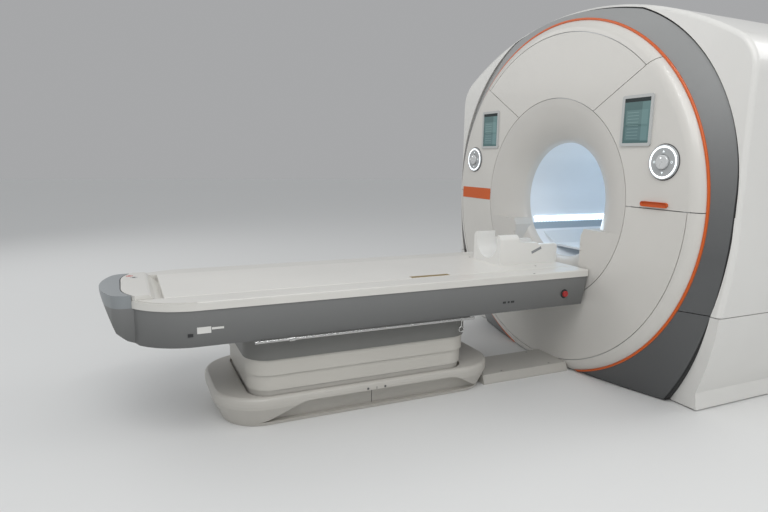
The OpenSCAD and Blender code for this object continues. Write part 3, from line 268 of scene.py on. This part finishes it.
def lacquer_painted_light(name, low, high, rough, metal, coat, shade_span):
    """Metallic lacquered coat with fine flake, and painted shade that pales to painted light between two
    heights, as if lit from above.
    """
    surface = Surface(name, metallic=metal, coat_weight=coat, coat_roughness=COAT_ROUGH)
    z = surface.place()[2]
    # Flake noise plus painted shade that pales with height
    tone = surface.noise(FLAKE_SCALE, 1.0) * FLAKE_VARIES + (z.ramp(*shade_span) - FLAKE_VARIES / 2)
    surface.set("Base Color", surface.mix(tone, low, high))
    surface.set("Roughness", surface.noise(SHEEN_SCALE) * SHEEN_VARIES + rough)
    return surface.material


def glowing(name, colour, strength):
    """Lit surface of one colour."""
    return Surface(name, base_color=(0.8, 0.8, 0.8), emission_color=colour,
                   emission_strength=strength).material


STRIP_LOW = 0.829
SCALLOP = 0.040


def light_strip_material(strength, pitch):
    """Row of small lamps behind a pale lens; their light ends in scallops at the lower edge."""
    surface = Surface("light_strip", 0.3, base_color=(0.28, 0.36, 0.42), emission_strength=strength)
    _, y, z = surface.place()
    phase = (y / pitch).fract() - 0.5
    lit = (z - (phase * phase * SCALLOP + STRIP_LOW)).ramp(0.0, 0.006)
    surface.set("Emission Color", surface.mix(lit, (0.016, 0.026, 0.036), (0.66, 0.80, 0.92)))
    return surface.material


LINER_BAND = (0.786, 0.8265)


def liner_material(glow):
    """Pale tube with a darker band between the light strip and the ledge; its faint glow is painted light
    from the strips, as the wall is no lamp.
    """
    surface = Surface("liner_pale", 0.32, emission_color=(0.62, 0.70, 0.78), emission_strength=glow)
    z = surface.place()[2]
    pale = surface.mix(surface.noise(3.0), (0.70, 0.74, 0.78), (0.74, 0.78, 0.82))
    surface.set("Base Color", surface.mix(z.between(*LINER_BAND), pale, (0.26, 0.33, 0.39)))
    return surface.material


# Fields of a display's page, as their sides and their lower and upper ends
PAGE_FIELD = ((-0.068, 0.068), (-0.018, 0.052))
LOWER_FIELD = ((-0.068, 0.068), (-0.096, -0.030))
ROWS_FIELD = ((-0.058, 0.012), (-0.088, 0.044))
SIDE_BAR = (0.030, (-0.100, 0.090))
TITLE_BAR = 0.092
ROW_PITCH = 0.016
ROW_LINE = (0.42, 0.58)
FAINT = 0.35


def screen_material(name, side, strength):
    """Display glass: dark bar on top, teal page with a few plain fields and rows below it."""
    surface = Surface(name, 0.14, base_color=(0.01, 0.015, 0.015), emission_strength=strength)
    x, _, z = surface.place()
    across = x - side * DISPLAY_X
    up = z - DISPLAY_Z
    page = surface.mix(up.ramp(-0.11, 0.08), (0.055, 0.105, 0.105), (0.070, 0.120, 0.120))
    field = across.between(*PAGE_FIELD[0]) * up.between(*PAGE_FIELD[1])
    page = surface.mix(field, page, (0.10, 0.165, 0.165))
    lower = across.between(*LOWER_FIELD[0]) * up.between(*LOWER_FIELD[1])
    page = surface.mix(lower, page, (0.085, 0.145, 0.150))
    rows = (up / ROW_PITCH).fract().between(*ROW_LINE) * across.between(*ROWS_FIELD[0])
    page = surface.mix(rows * up.between(*ROWS_FIELD[1]) * FAINT, page, (0.30, 0.42, 0.42))
    side_bar = across.above(SIDE_BAR[0]) * up.between(*SIDE_BAR[1])
    page = surface.mix(side_bar * FAINT, page, (0.16, 0.27, 0.27))
    surface.set("Emission Color", surface.mix(up.above(TITLE_BAR), page, (0.006, 0.010, 0.010)))
    return surface.material


# Mesh pieces

def finish_piece(name, material, body, smooth=30.0):
    """Names the piece just made, puts its origin at the world's and ties it to its body."""
    piece = bpy.context.object
    if piece is None or piece.type != "MESH":
        raise RuntimeError(f"{name}: no mesh was made")
    piece.name = name
    piece.data.name = name
    bpy.ops.object.transform_apply(location=True, rotation=True, scale=True)
    if smooth:
        bpy.ops.object.shade_smooth_by_angle(angle=math.radians(smooth))
    piece.data.materials.clear()
    piece.data.materials.append(material)
    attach(piece, body)
    bpy.ops.object.select_all(action="DESELECT")
    return piece


def apply_bevel(width, segments=2):
    """Bevels the edges of the piece just made."""
    bpy.ops.object.transform_apply(location=False, rotation=False, scale=True)
    bpy.ops.object.modifier_add(type="BEVEL")
    bevel = bpy.context.object.modifiers[-1]
    bevel.width = width
    bevel.segments = segments
    bevel.limit_method = "ANGLE"
    bpy.ops.object.modifier_apply(modifier=bevel.name)


def block(name, low, high, material, body):
    """Flat plate or strip between two corners."""
    low, high = Vector(low), Vector(high)
    bpy.ops.mesh.primitive_cube_add(size=1.0, location=(low + high) / 2)
    bpy.context.object.scale = high - low
    return finish_piece(name, material, body)


TURN = {"X": (0.0, math.pi / 2, 0.0), "Y": (math.pi / 2, 0.0, 0.0), "Z": (0.0, 0.0, 0.0)}


def disc(name, centre, radius, depth, axis, material, body, sides=48):
    """Round plate or peg about an axis of the frame."""
    bpy.ops.mesh.primitive_cylinder_add(vertices=sides, radius=radius, depth=depth, location=centre,
                                        rotation=TURN[axis])
    return finish_piece(name, material, body)


def ring(name, centre, radius, width, depth, axis, material, body):
    """Flat ring about an axis of the frame."""
    bpy.ops.mesh.primitive_torus_add(major_radius=radius, minor_radius=width / 2, major_segments=72,
                                     minor_segments=12, location=centre, rotation=TURN[axis])
    bpy.context.object.scale = (1.0, 1.0, depth / width)
    return finish_piece(name, material, body)


def pill(name, centre, length, height, depth, material, body, slot=None):
    """Plate with round ends on the gantry's face."""
    bpy.ops.mesh.primitive_cube_add(size=1.0, location=centre)
    bpy.context.object.scale = (length, depth, height)
    bpy.ops.object.transform_apply(location=False, rotation=False, scale=True)
    bpy.ops.object.mode_set(mode="EDIT")
    bpy.ops.mesh.select_all(action="DESELECT")
    bpy.ops.object.mode_set(mode="OBJECT")
    mesh = bpy.context.object.data
    for edge in mesh.edges:
        a, b = (mesh.vertices[i].co for i in edge.vertices)
        edge.select = abs(a.x - b.x) < 1e-6 and abs(a.z - b.z) < 1e-6
    bpy.ops.object.mode_set(mode="EDIT")
    bpy.ops.mesh.select_mode(type="EDGE")
    bpy.ops.mesh.bevel(offset=height * 0.49, segments=8)
    bpy.ops.object.mode_set(mode="OBJECT")
    return finish_piece(name, material, body)


# Settings and operators

class ScannerSettings(bpy.types.PropertyGroup):
    strip_light: bpy.props.FloatProperty(
        name="Bore light", description="Strength of the light strips in the bore", default=5.0, min=0.0)
    strip_pitch: bpy.props.FloatProperty(
        name="Lamp pitch", description="Distance between two lamps of a light strip", default=0.026,
        min=0.005, unit="LENGTH")
    # The bore's wall glows though it is no lamp: painted light from the strips
    bore_painted_glow: bpy.props.FloatProperty(
        name="Bore glow", description="Strength of the light that the bore's wall gives back", default=0.10,
        min=0.0)
    screen_light: bpy.props.FloatProperty(
        name="Screen light", description="Strength of the displays", default=1.1, min=0.0)
    ring_light: bpy.props.FloatProperty(
        name="Dial light", description="Strength of the lit rings of the dials", default=1.6, min=0.0)
    gloss: bpy.props.FloatProperty(
        name="Cover gloss", description="Clear coat on the moulded covers", default=0.35, min=0.0,
        max=1.0, subtype="FACTOR")
    key_light: bpy.props.FloatProperty(
        name="Studio light", description="Power of the main studio light", default=112.0, min=0.0,
        unit="POWER")
    tube_light: bpy.props.FloatProperty(
        name="Tube light", description="Power of each narrow ceiling lamp", default=11.0, min=0.0,
        unit="POWER")
    room_light: bpy.props.FloatProperty(
        name="Room light", description="Strength of the even light from all sides", default=0.68, min=0.0)
    floor_size: bpy.props.FloatProperty(
        name="Floor size", description="Side of the studio floor", default=60.0, min=10.0, unit="LENGTH")
    lens: bpy.props.FloatProperty(
        name="Lens", description="Focal length of the camera", default=27.2, min=10.0, unit="CAMERA")


def settings():
    return bpy.context.scene.scanner_looks


# Plain finishes by CAD slot: colour, roughness, metal and share of the clear coat
COATS = {
    "cover_white": ((0.66, 0.64, 0.60), 0.34, 0.0, 1.0),
    "flare_white": ((0.61, 0.59, 0.555), 0.36, 0.0, 1.0),
    "shell_white": ((0.74, 0.73, 0.70), 0.36, 0.0, 1.0),
    "accent_orange": ((0.66, 0.112, 0.012), 0.38, 0.0, 0.3),
    "gap_black": ((0.02, 0.02, 0.02), 0.7, 0.0, 0.0),
    "deck_pale": ((0.68, 0.72, 0.75), 0.35, 0.0, 0.5),
    "bezel_grey": ((0.50, 0.51, 0.50), 0.36, 0.0, 0.4),
    "dial_grey": ((0.46, 0.475, 0.48), 0.30, 0.2, 0.4),
    "knob_grey": ((0.66, 0.67, 0.67), 0.28, 0.2, 0.6),
    "vessel_metal": ((0.55, 0.55, 0.55), 0.40, 0.6, 0.0),
    "foot_metal": ((0.12, 0.12, 0.125), 0.50, 0.3, 0.0),
    "cold_metal": ((0.50, 0.50, 0.50), 0.30, 1.0, 0.0),
    "coil_resin": ((0.42, 0.26, 0.12), 0.45, 0.0, 0.0),
    "support_rubber": ((0.04, 0.04, 0.04), 0.75, 0.0, 0.0),
    "frame_alu": ((0.52, 0.53, 0.54), 0.38, 0.9, 0.0),
    "base_white": ((0.50, 0.48, 0.44), 0.38, 0.0, 0.5),
    "duct_white": ((0.47, 0.455, 0.42), 0.42, 0.0, 0.3),
    "plate_metal": ((0.10, 0.10, 0.10), 0.50, 0.5, 0.0),
    "lift_metal": ((0.20, 0.21, 0.22), 0.40, 0.5, 0.0),
    "rod_chrome": ((0.72, 0.72, 0.72), 0.12, 1.0, 0.0),
    "skirt_grey": ((0.165, 0.165, 0.155), 0.46, 0.0, 0.15),
    "skirt_white": ((0.53, 0.51, 0.465), 0.42, 0.0, 0.3),
    "chassis_metal": ((0.11, 0.11, 0.11), 0.50, 0.4, 0.0),
    "cap_bluegrey": ((0.27, 0.29, 0.30), 0.38, 0.1, 0.4),
    "top_white": ((0.68, 0.665, 0.625), 0.33, 0.0, 1.0),
    "board_white": ((0.72, 0.705, 0.665), 0.34, 0.0, 0.8),
    "rail_steel": ((0.58, 0.58, 0.57), 0.26, 1.0, 0.0),
    "stop_red": ((0.36, 0.018, 0.018), 0.32, 0.0, 0.6),
    "coil_white": ((0.80, 0.79, 0.76), 0.36, 0.0, 0.7),
}


# Grey lacquers with painted light from above: shaded low colour and lit high colour, and the heights between
# which the painted shade pales
BAND_SHADE_TONES = ((0.105, 0.108, 0.110), (0.44, 0.445, 0.44))
BAND_SHADE_SPAN = (0.80, 1.95)
BEAM_SHADE_TONES = ((0.120, 0.122, 0.120), (0.215, 0.218, 0.215))
BEAM_SHADE_SPAN = (0.42, 0.62)


class MRI_OT_finishes(bpy.types.Operator):
    """Gives every CAD piece its procedural finish"""

    bl_idname = "mri.finishes"
    bl_label = "Finishes"

    def execute(self, context):
        chosen = settings()
        finishes = {}
        for name, (colour, rough, metal, coat) in COATS.items():
            finishes[name] = coating(name, colour, rough, metal, coat * chosen.gloss)
        finishes["light_strip"] = light_strip_material(chosen.strip_light, chosen.strip_pitch)
        finishes["liner_pale"] = liner_material(chosen.bore_painted_glow)
        # The band and the beam are darker low and paler high: painted shade and painted light from above
        finishes["band_grey"] = lacquer_painted_light("band_grey", *BAND_SHADE_TONES, 0.26, 0.45, chosen.gloss, BAND_SHADE_SPAN)
        finishes["beam_grey"] = lacquer_painted_light("beam_grey", *BEAM_SHADE_TONES, 0.36, 0.25, 0.4 * chosen.gloss, BEAM_SHADE_SPAN)
        slots = {row["node"]: row["material_slot"] for row in frame["record"]["subparts"]}
        for node, obj in frame["nodes"].items():
            slot = slots[node]
            if slot == "screen":
                side = 1.0 if node.endswith("right") else -1.0
                material = screen_material(node, side, chosen.screen_light)
            elif slot in finishes:
                material = finishes[slot]
            else:
                raise RuntimeError(f"no finish for slot {slot} of {node}")
            obj.data.materials.clear()
            obj.data.materials.append(material)
        return {"FINISHED"}


class MRI_OT_dials(bpy.types.Operator):
    """Lit ring, key icons, ticks and the knob's painted highlight of both dials"""

    bl_idname = "mri.dials"
    bl_label = "Dials"

    def execute(self, context):
        lit = glowing("dial_light", (0.82, 0.90, 0.95), settings().ring_light)
        icon = glowing("icon_light", (0.65, 0.78, 0.82), 0.8)
        tick = coating("tick_grey", (0.46, 0.48, 0.49), 0.5)
        edge = coating("dial_edge", (0.05, 0.052, 0.055), 0.4)
        for side, word in SIDES:
            middle = Vector((side * DIAL_X, 0.0, DIAL_Z))
            ring(f"dial_light_{word}", middle + Vector((0.0, DIAL_FRONT + LIGHT_SUNK, 0.0)), *DIAL_LIGHT,
                 "Y", lit, GANTRY)
            ring(f"dial_edge_{word}", middle + Vector((0.0, FACE_Y - EDGE_PROUD, 0.0)), *DIAL_EDGE,
                 "Y", edge, GANTRY)
            for i in range(TICKS):
                turn = math.tau * i / TICKS
                at = middle + Vector((TICK_RADIUS * math.cos(turn), DIAL_FRONT,
                                      TICK_RADIUS * math.sin(turn)))
                bpy.ops.mesh.primitive_cube_add(size=1.0, location=at, rotation=(0.0, -turn, 0.0))
                bpy.context.object.scale = TICK_SIZE
                finish_piece(f"dial_tick_{word}_{i}", tick, GANTRY, smooth=0)
            for i, label in enumerate(("east", "north", "west", "south")):
                turn = math.pi / 2 * i
                at = middle + Vector((ICON_RADIUS * math.cos(turn), DIAL_FRONT - HAIR,
                                      ICON_RADIUS * math.sin(turn)))
                if label in ("north", "south"):
                    bpy.ops.mesh.primitive_cylinder_add(
                        vertices=3, radius=ARROW_RADIUS, depth=ICON_DEPTH, location=at,
                        rotation=(math.pi / 2, turn - math.pi / 2, 0.0))
                    finish_piece(f"dial_icon_{word}_{label}", icon, GANTRY, smooth=0)
                else:
                    ring(f"dial_icon_{word}_{label}", at, *ICON_RING, ICON_DEPTH, "Y", icon, GANTRY)
            # A glowing dot on the knob stands for a painted highlight
            knob_highlight = Vector((KNOB_HIGHLIGHT[0], KNOB_FRONT - HAIR, KNOB_HIGHLIGHT[1]))
            disc(f"knob_painted_highlight_{word}", middle + knob_highlight, *KNOB_HIGHLIGHT_SIZE, "Y", lit, f"knob_{word}")
        return {"FINISHED"}


class MRI_OT_face_labels(bpy.types.Operator):
    """Bare orange label fields on the side panels"""

    bl_idname = "mri.face_labels"
    bl_label = "Label fields"

    def execute(self, context):
        orange = coating("label_orange", (0.62, 0.108, 0.014), 0.45)
        (left, low), (right, high) = LABEL_LEFT
        block("label_strip_left", (left, FACE_Y - LABEL_PROUD, low), (right, FACE_Y, high), orange, GANTRY)
        x, z = PILL_AT
        pill("label_pill_right", (x, FACE_Y - LABEL_PROUD / 2, z), *PILL_SIZE, LABEL_PROUD, orange, GANTRY,
             "accent_orange")
        return {"FINISHED"}


class MRI_OT_table_marks(bpy.types.Operator):
    """Small parts and marks of the table: slot edges, holes as dark discs of painted shade, button collars,
    labels, foot marks
    """

    bl_idname = "mri.table_marks"
    bl_label = "Table marks"

    def execute(self, context):
        tan = coating("slot_tan", (0.42, 0.33, 0.19), 0.5)
        # Dark marks, and the painted shade of the holes
        dark = coating("dark_mark_and_hole_shade", (0.025, 0.025, 0.027), 0.5)
        blank = coating("label_blank", (0.70, 0.69, 0.66), 0.5)
        red = coating("mark_red", (0.50, 0.03, 0.02), 0.4)
        grey = coating("mark_grey", (0.30, 0.31, 0.32), 0.4)
        x0, x1, y0, y1 = HAND_SLOT
        floor, lip = SLOT_HEIGHTS
        for name, low, high in (
                ("near", (x0, y1 - SLOT_RIM, floor), (x1, y1 - SLOT_FIT, lip)),
                ("far", (x0, y0 + SLOT_FIT, floor), (x1, y0 + SLOT_RIM, lip)),
                ("inner", (x0 + SLOT_FIT, y0 + SLOT_RIM, floor), (x0 + SLOT_RIM, y1 - SLOT_RIM, lip)),
                ("outer", (x1 - SLOT_RIM, y0 + SLOT_RIM, floor), (x1 - SLOT_FIT, y1 - SLOT_RIM, lip))):
            block(f"slot_edge_{name}", low, high, tan, TABLE)
        for i, (x, y, z) in enumerate(TOP_HOLES):
            # Each hole is a dark disc: painted shade inside the hole
            disc(f"top_hole_shade_{i}", (x, y, z + HAIR), *TOP_HOLE_SIZE, "Z", dark, TABLE, sides=32)
        for side, word in SIDES:
            ring(f"stop_collar_{word}", (side * (BEAM_X + STOP_COLLAR[2] / 2), *STOP_AT), *STOP_COLLAR,
                 "X", dark, TABLE)
            for i, (y, long) in enumerate(BEAM_MARKS):
                block(f"beam_mark_{word}_{i}", (side * BEAM_X - LABEL_FILM, y - long / 2, BEAM_MARK_Z[0]),
                      (side * BEAM_X + LABEL_FILM, y + long / 2, BEAM_MARK_Z[1]), dark, TABLE)
        for name, material, (y, z), (y_end, z_end) in (
                ("beam_label", blank, (-3.052, 0.500), (-2.995, 0.528)),
                ("beam_label_bar", blank, (-2.992, 0.514), (-2.942, 0.523)),
                ("beam_label_mark", dark, (-3.090, 0.489), (-3.068, 0.503))):
            block(name, (BEAM_X - LABEL_SUNK, y, z), (BEAM_X + LABEL_FILM, y_end, z_end), material, TABLE)
        for side, word in SIDES:
            at = Vector((COIL_X + side * (COIL_HALF - COIL_SLOT_IN), COIL_SLOT_Y, COIL_SLOT_Z))
            bpy.ops.mesh.primitive_cube_add(size=1.0, location=at, rotation=(COIL_SLOT_TURN, 0.0, 0.0))
            bpy.context.object.scale = COIL_SLOT_SIZE
            apply_bevel(COIL_SLOT_BEVEL)
            finish_piece(f"coil_slot_{word}", grey, TABLE)
        for word, (x, y), width, ring_material, dot_radius, dot_material in (
                ("red", (-0.184, -3.294), 0.005, red, 0.007, red),
                ("dark", (-0.142, -3.275), 0.004, grey, 0.008, dark)):
            ring(f"foot_mark_{word}", (x, y, PANEL_Z), FOOT_MARK_RADIUS, width, FOOT_MARK_DEPTH, "Z",
                 ring_material, TABLE)
            disc(f"foot_dot_{word}", (x, y, PANEL_Z + FOOT_DOT_RISE), dot_radius, FOOT_DOT_DEPTH, "Z",
                 dot_material, TABLE, sides=32)
        return {"FINISHED"}


class MRI_OT_base_marks(bpy.types.Operator):
    """Screws with their sockets in painted shade, and seams of the table's base"""

    bl_idname = "mri.base_marks"
    bl_label = "Base marks"

    def execute(self, context):
        dark = coating("base_dark", (0.03, 0.03, 0.03), 0.5)
        steel = coating("base_screw", (0.22, 0.22, 0.215), 0.35, 0.8)
        for side, word in SIDES:
            for i, y in enumerate(BASE_SCREW_Y):
                disc(f"base_screw_{word}_{i}", (side * (BASE_X + 0.0004), y, BASE_SCREW_Z), *BASE_SCREW_SIZE,
                     "X", steel, GANTRY, sides=32)
                # The screw's hex socket is a dark disc: painted shade in its recess
                disc(f"base_socket_shade_{word}_{i}", (side * (BASE_X + 0.0011), y, BASE_SCREW_Z),
                     *BASE_SOCKET_SIZE, "X", dark, GANTRY, sides=6)
            for name, wall, (bottom, top) in (("base_seam", RECESS_X, (0.001, 0.110)),
                                              ("base_seam_top", BASE_X, (0.1135, 0.126))):
                inner, outer = sorted((side * wall, side * (wall + SEAM_PROUD)))
                block(f"{name}_{word}", (inner, SEAM_Y[0], bottom), (outer, SEAM_Y[1], top), dark, GANTRY)
        for i, (x, y) in enumerate(DUCT_SCREWS):
            disc(f"duct_screw_{i}", (x, y, DUCT_TOP), *DUCT_SCREW_SIZE, "Z", steel, GANTRY, sides=32)
        return {"FINISHED"}


# World colours as the object sees it, and behind the object
ROOM_TONE = (0.78, 0.80, 0.82)
BACK_TONE = (0.565, 0.57, 0.58)
FLOOR_TONE = (0.72, 0.72, 0.71)
FLOOR_Z = -0.0005
# Soft lamps: name, place, side and share of the main lamp's power; all aim at one point
LAMPS = (
    ("studio_key", (3.6, -3.6, 5.2), 4.0, 1.0),
    ("studio_fill", (-4.5, -5.0, 4.2), 4.0, 0.6),
    ("studio_back", (2.5, 3.5, 5.0), 3.0, 0.7),
)
LAMP_AIM = Vector((0.0, -0.8, 0.9))
# Narrow ceiling lamps, which streak the gloss of the covers
TUBES = (("studio_tube_near", (1.9, -2.6, 3.4)), ("studio_tube_far", (3.4, -1.6, 3.4)))
TUBE_SIZE = (0.10, 2.6)
TUBE_TURN = math.radians(35.0)
# The photo's camera
CAMERA_AT = (2.830, -3.316, 1.236)
CAMERA_TURNS = (65.48, 9.53, 0.91)
PICTURE = (768, 512)


class MRI_OT_studio(bpy.types.Operator):
    """Plain floor, soft light, world and camera"""

    bl_idname = "mri.studio"
    bl_label = "Studio"

    def execute(self, context):
        chosen = settings()
        scene = context.scene
        scene.view_settings.view_transform = "Standard"
        scene.view_settings.look = "None"
        scene.view_settings.exposure = 0.0
        scene.view_settings.gamma = 1.0
        bpy.ops.mesh.primitive_plane_add(size=chosen.floor_size, location=(0.0, 0.0, FLOOR_Z))
        floor = context.object
        floor.name = "studio_floor"
        floor.data.materials.append(Surface("studio_floor", 0.65, base_color=FLOOR_TONE).material)
        world = scene.world or bpy.data.worlds.new("World")
        scene.world = world
        world.use_nodes = True
        room = Finish(world.node_tree)
        seen = sum(room.add("ShaderNodeLightPath", output=ray)
                   for ray in ("Is Camera Ray", "Is Glossy Ray", "Is Transmission Ray"))
        back = world.node_tree.nodes["Background"]
        room.link(room.mix(seen, ROOM_TONE, BACK_TONE), back.inputs["Color"])
        room.link(chosen.room_light, back.inputs["Strength"])
        for name, place, size, share in LAMPS:
            bpy.ops.object.light_add(type="AREA", location=place)
            lamp = context.object
            lamp.name = name
            lamp.data.size = size
            lamp.data.energy = chosen.key_light * share
            aim = LAMP_AIM - Vector(place)
            lamp.rotation_mode = "QUATERNION"
            lamp.rotation_quaternion = aim.to_track_quat("-Z", "Y")
        for name, place in TUBES:
            bpy.ops.object.light_add(type="AREA", location=place, rotation=(0.0, 0.0, TUBE_TURN))
            tube = context.object
            tube.name = name
            tube.data.shape = "RECTANGLE"
            tube.data.size, tube.data.size_y = TUBE_SIZE
            tube.data.energy = chosen.tube_light
        bpy.ops.object.camera_add(location=CAMERA_AT)
        camera = context.object
        camera.name = "photo_camera"
        yaw, pitch, roll = (math.radians(v) for v in CAMERA_TURNS)
        level = Vector((-math.sin(yaw), math.cos(yaw), 0.0))
        ahead = math.cos(pitch) * level - math.sin(pitch) * Vector((0.0, 0.0, 1.0))
        right = ahead.cross(Vector((0.0, 0.0, 1.0))).normalized()
        up = right.cross(ahead)
        across = math.cos(roll) * right + math.sin(roll) * up
        over = -math.sin(roll) * right + math.cos(roll) * up
        turn = Matrix((across, over, -ahead)).transposed()
        camera.rotation_mode = "QUATERNION"
        camera.rotation_quaternion = turn.to_quaternion()
        camera.data.lens = chosen.lens
        camera.data.sensor_width = 36.0
        camera.data.clip_end = 100.0
        scene.camera = camera
        scene.render.resolution_x, scene.render.resolution_y = PICTURE
        return {"FINISHED"}


class MRI_PT_panel(bpy.types.Panel):
    """Sidebar panel with the settings and the steps"""

    bl_idname = "MRI_PT_panel"
    bl_label = "MRI scanner"
    bl_space_type = "VIEW_3D"
    bl_region_type = "UI"
    bl_category = "Scanner"

    def draw(self, context):
        chosen = context.scene.scanner_looks
        column = self.layout.column()
        for name in ScannerSettings.__annotations__:
            column.prop(chosen, name)
        for step in STEPS:
            column.operator(step.bl_idname)


STEPS = (MRI_OT_finishes, MRI_OT_dials, MRI_OT_face_labels, MRI_OT_table_marks, MRI_OT_base_marks,
         MRI_OT_studio)
CLASSES = (ScannerSettings, *STEPS, MRI_PT_panel)


def register():
    for cls in CLASSES:
        bpy.utils.register_class(cls)
    bpy.types.Scene.scanner_looks = bpy.props.PointerProperty(type=ScannerSettings)


def unregister():
    del bpy.types.Scene.scanner_looks
    for cls in reversed(CLASSES):
        bpy.utils.unregister_class(cls)


def main():
    register()
    bpy.ops.object.select_all(action="DESELECT")
    bpy.ops.mri.finishes()
    bpy.ops.mri.dials()
    bpy.ops.mri.face_labels()
    bpy.ops.mri.table_marks()
    bpy.ops.mri.base_marks()
    bpy.ops.mri.studio()
    bpy.ops.object.select_all(action="DESELECT")


if __name__ == "__main__":
    main()
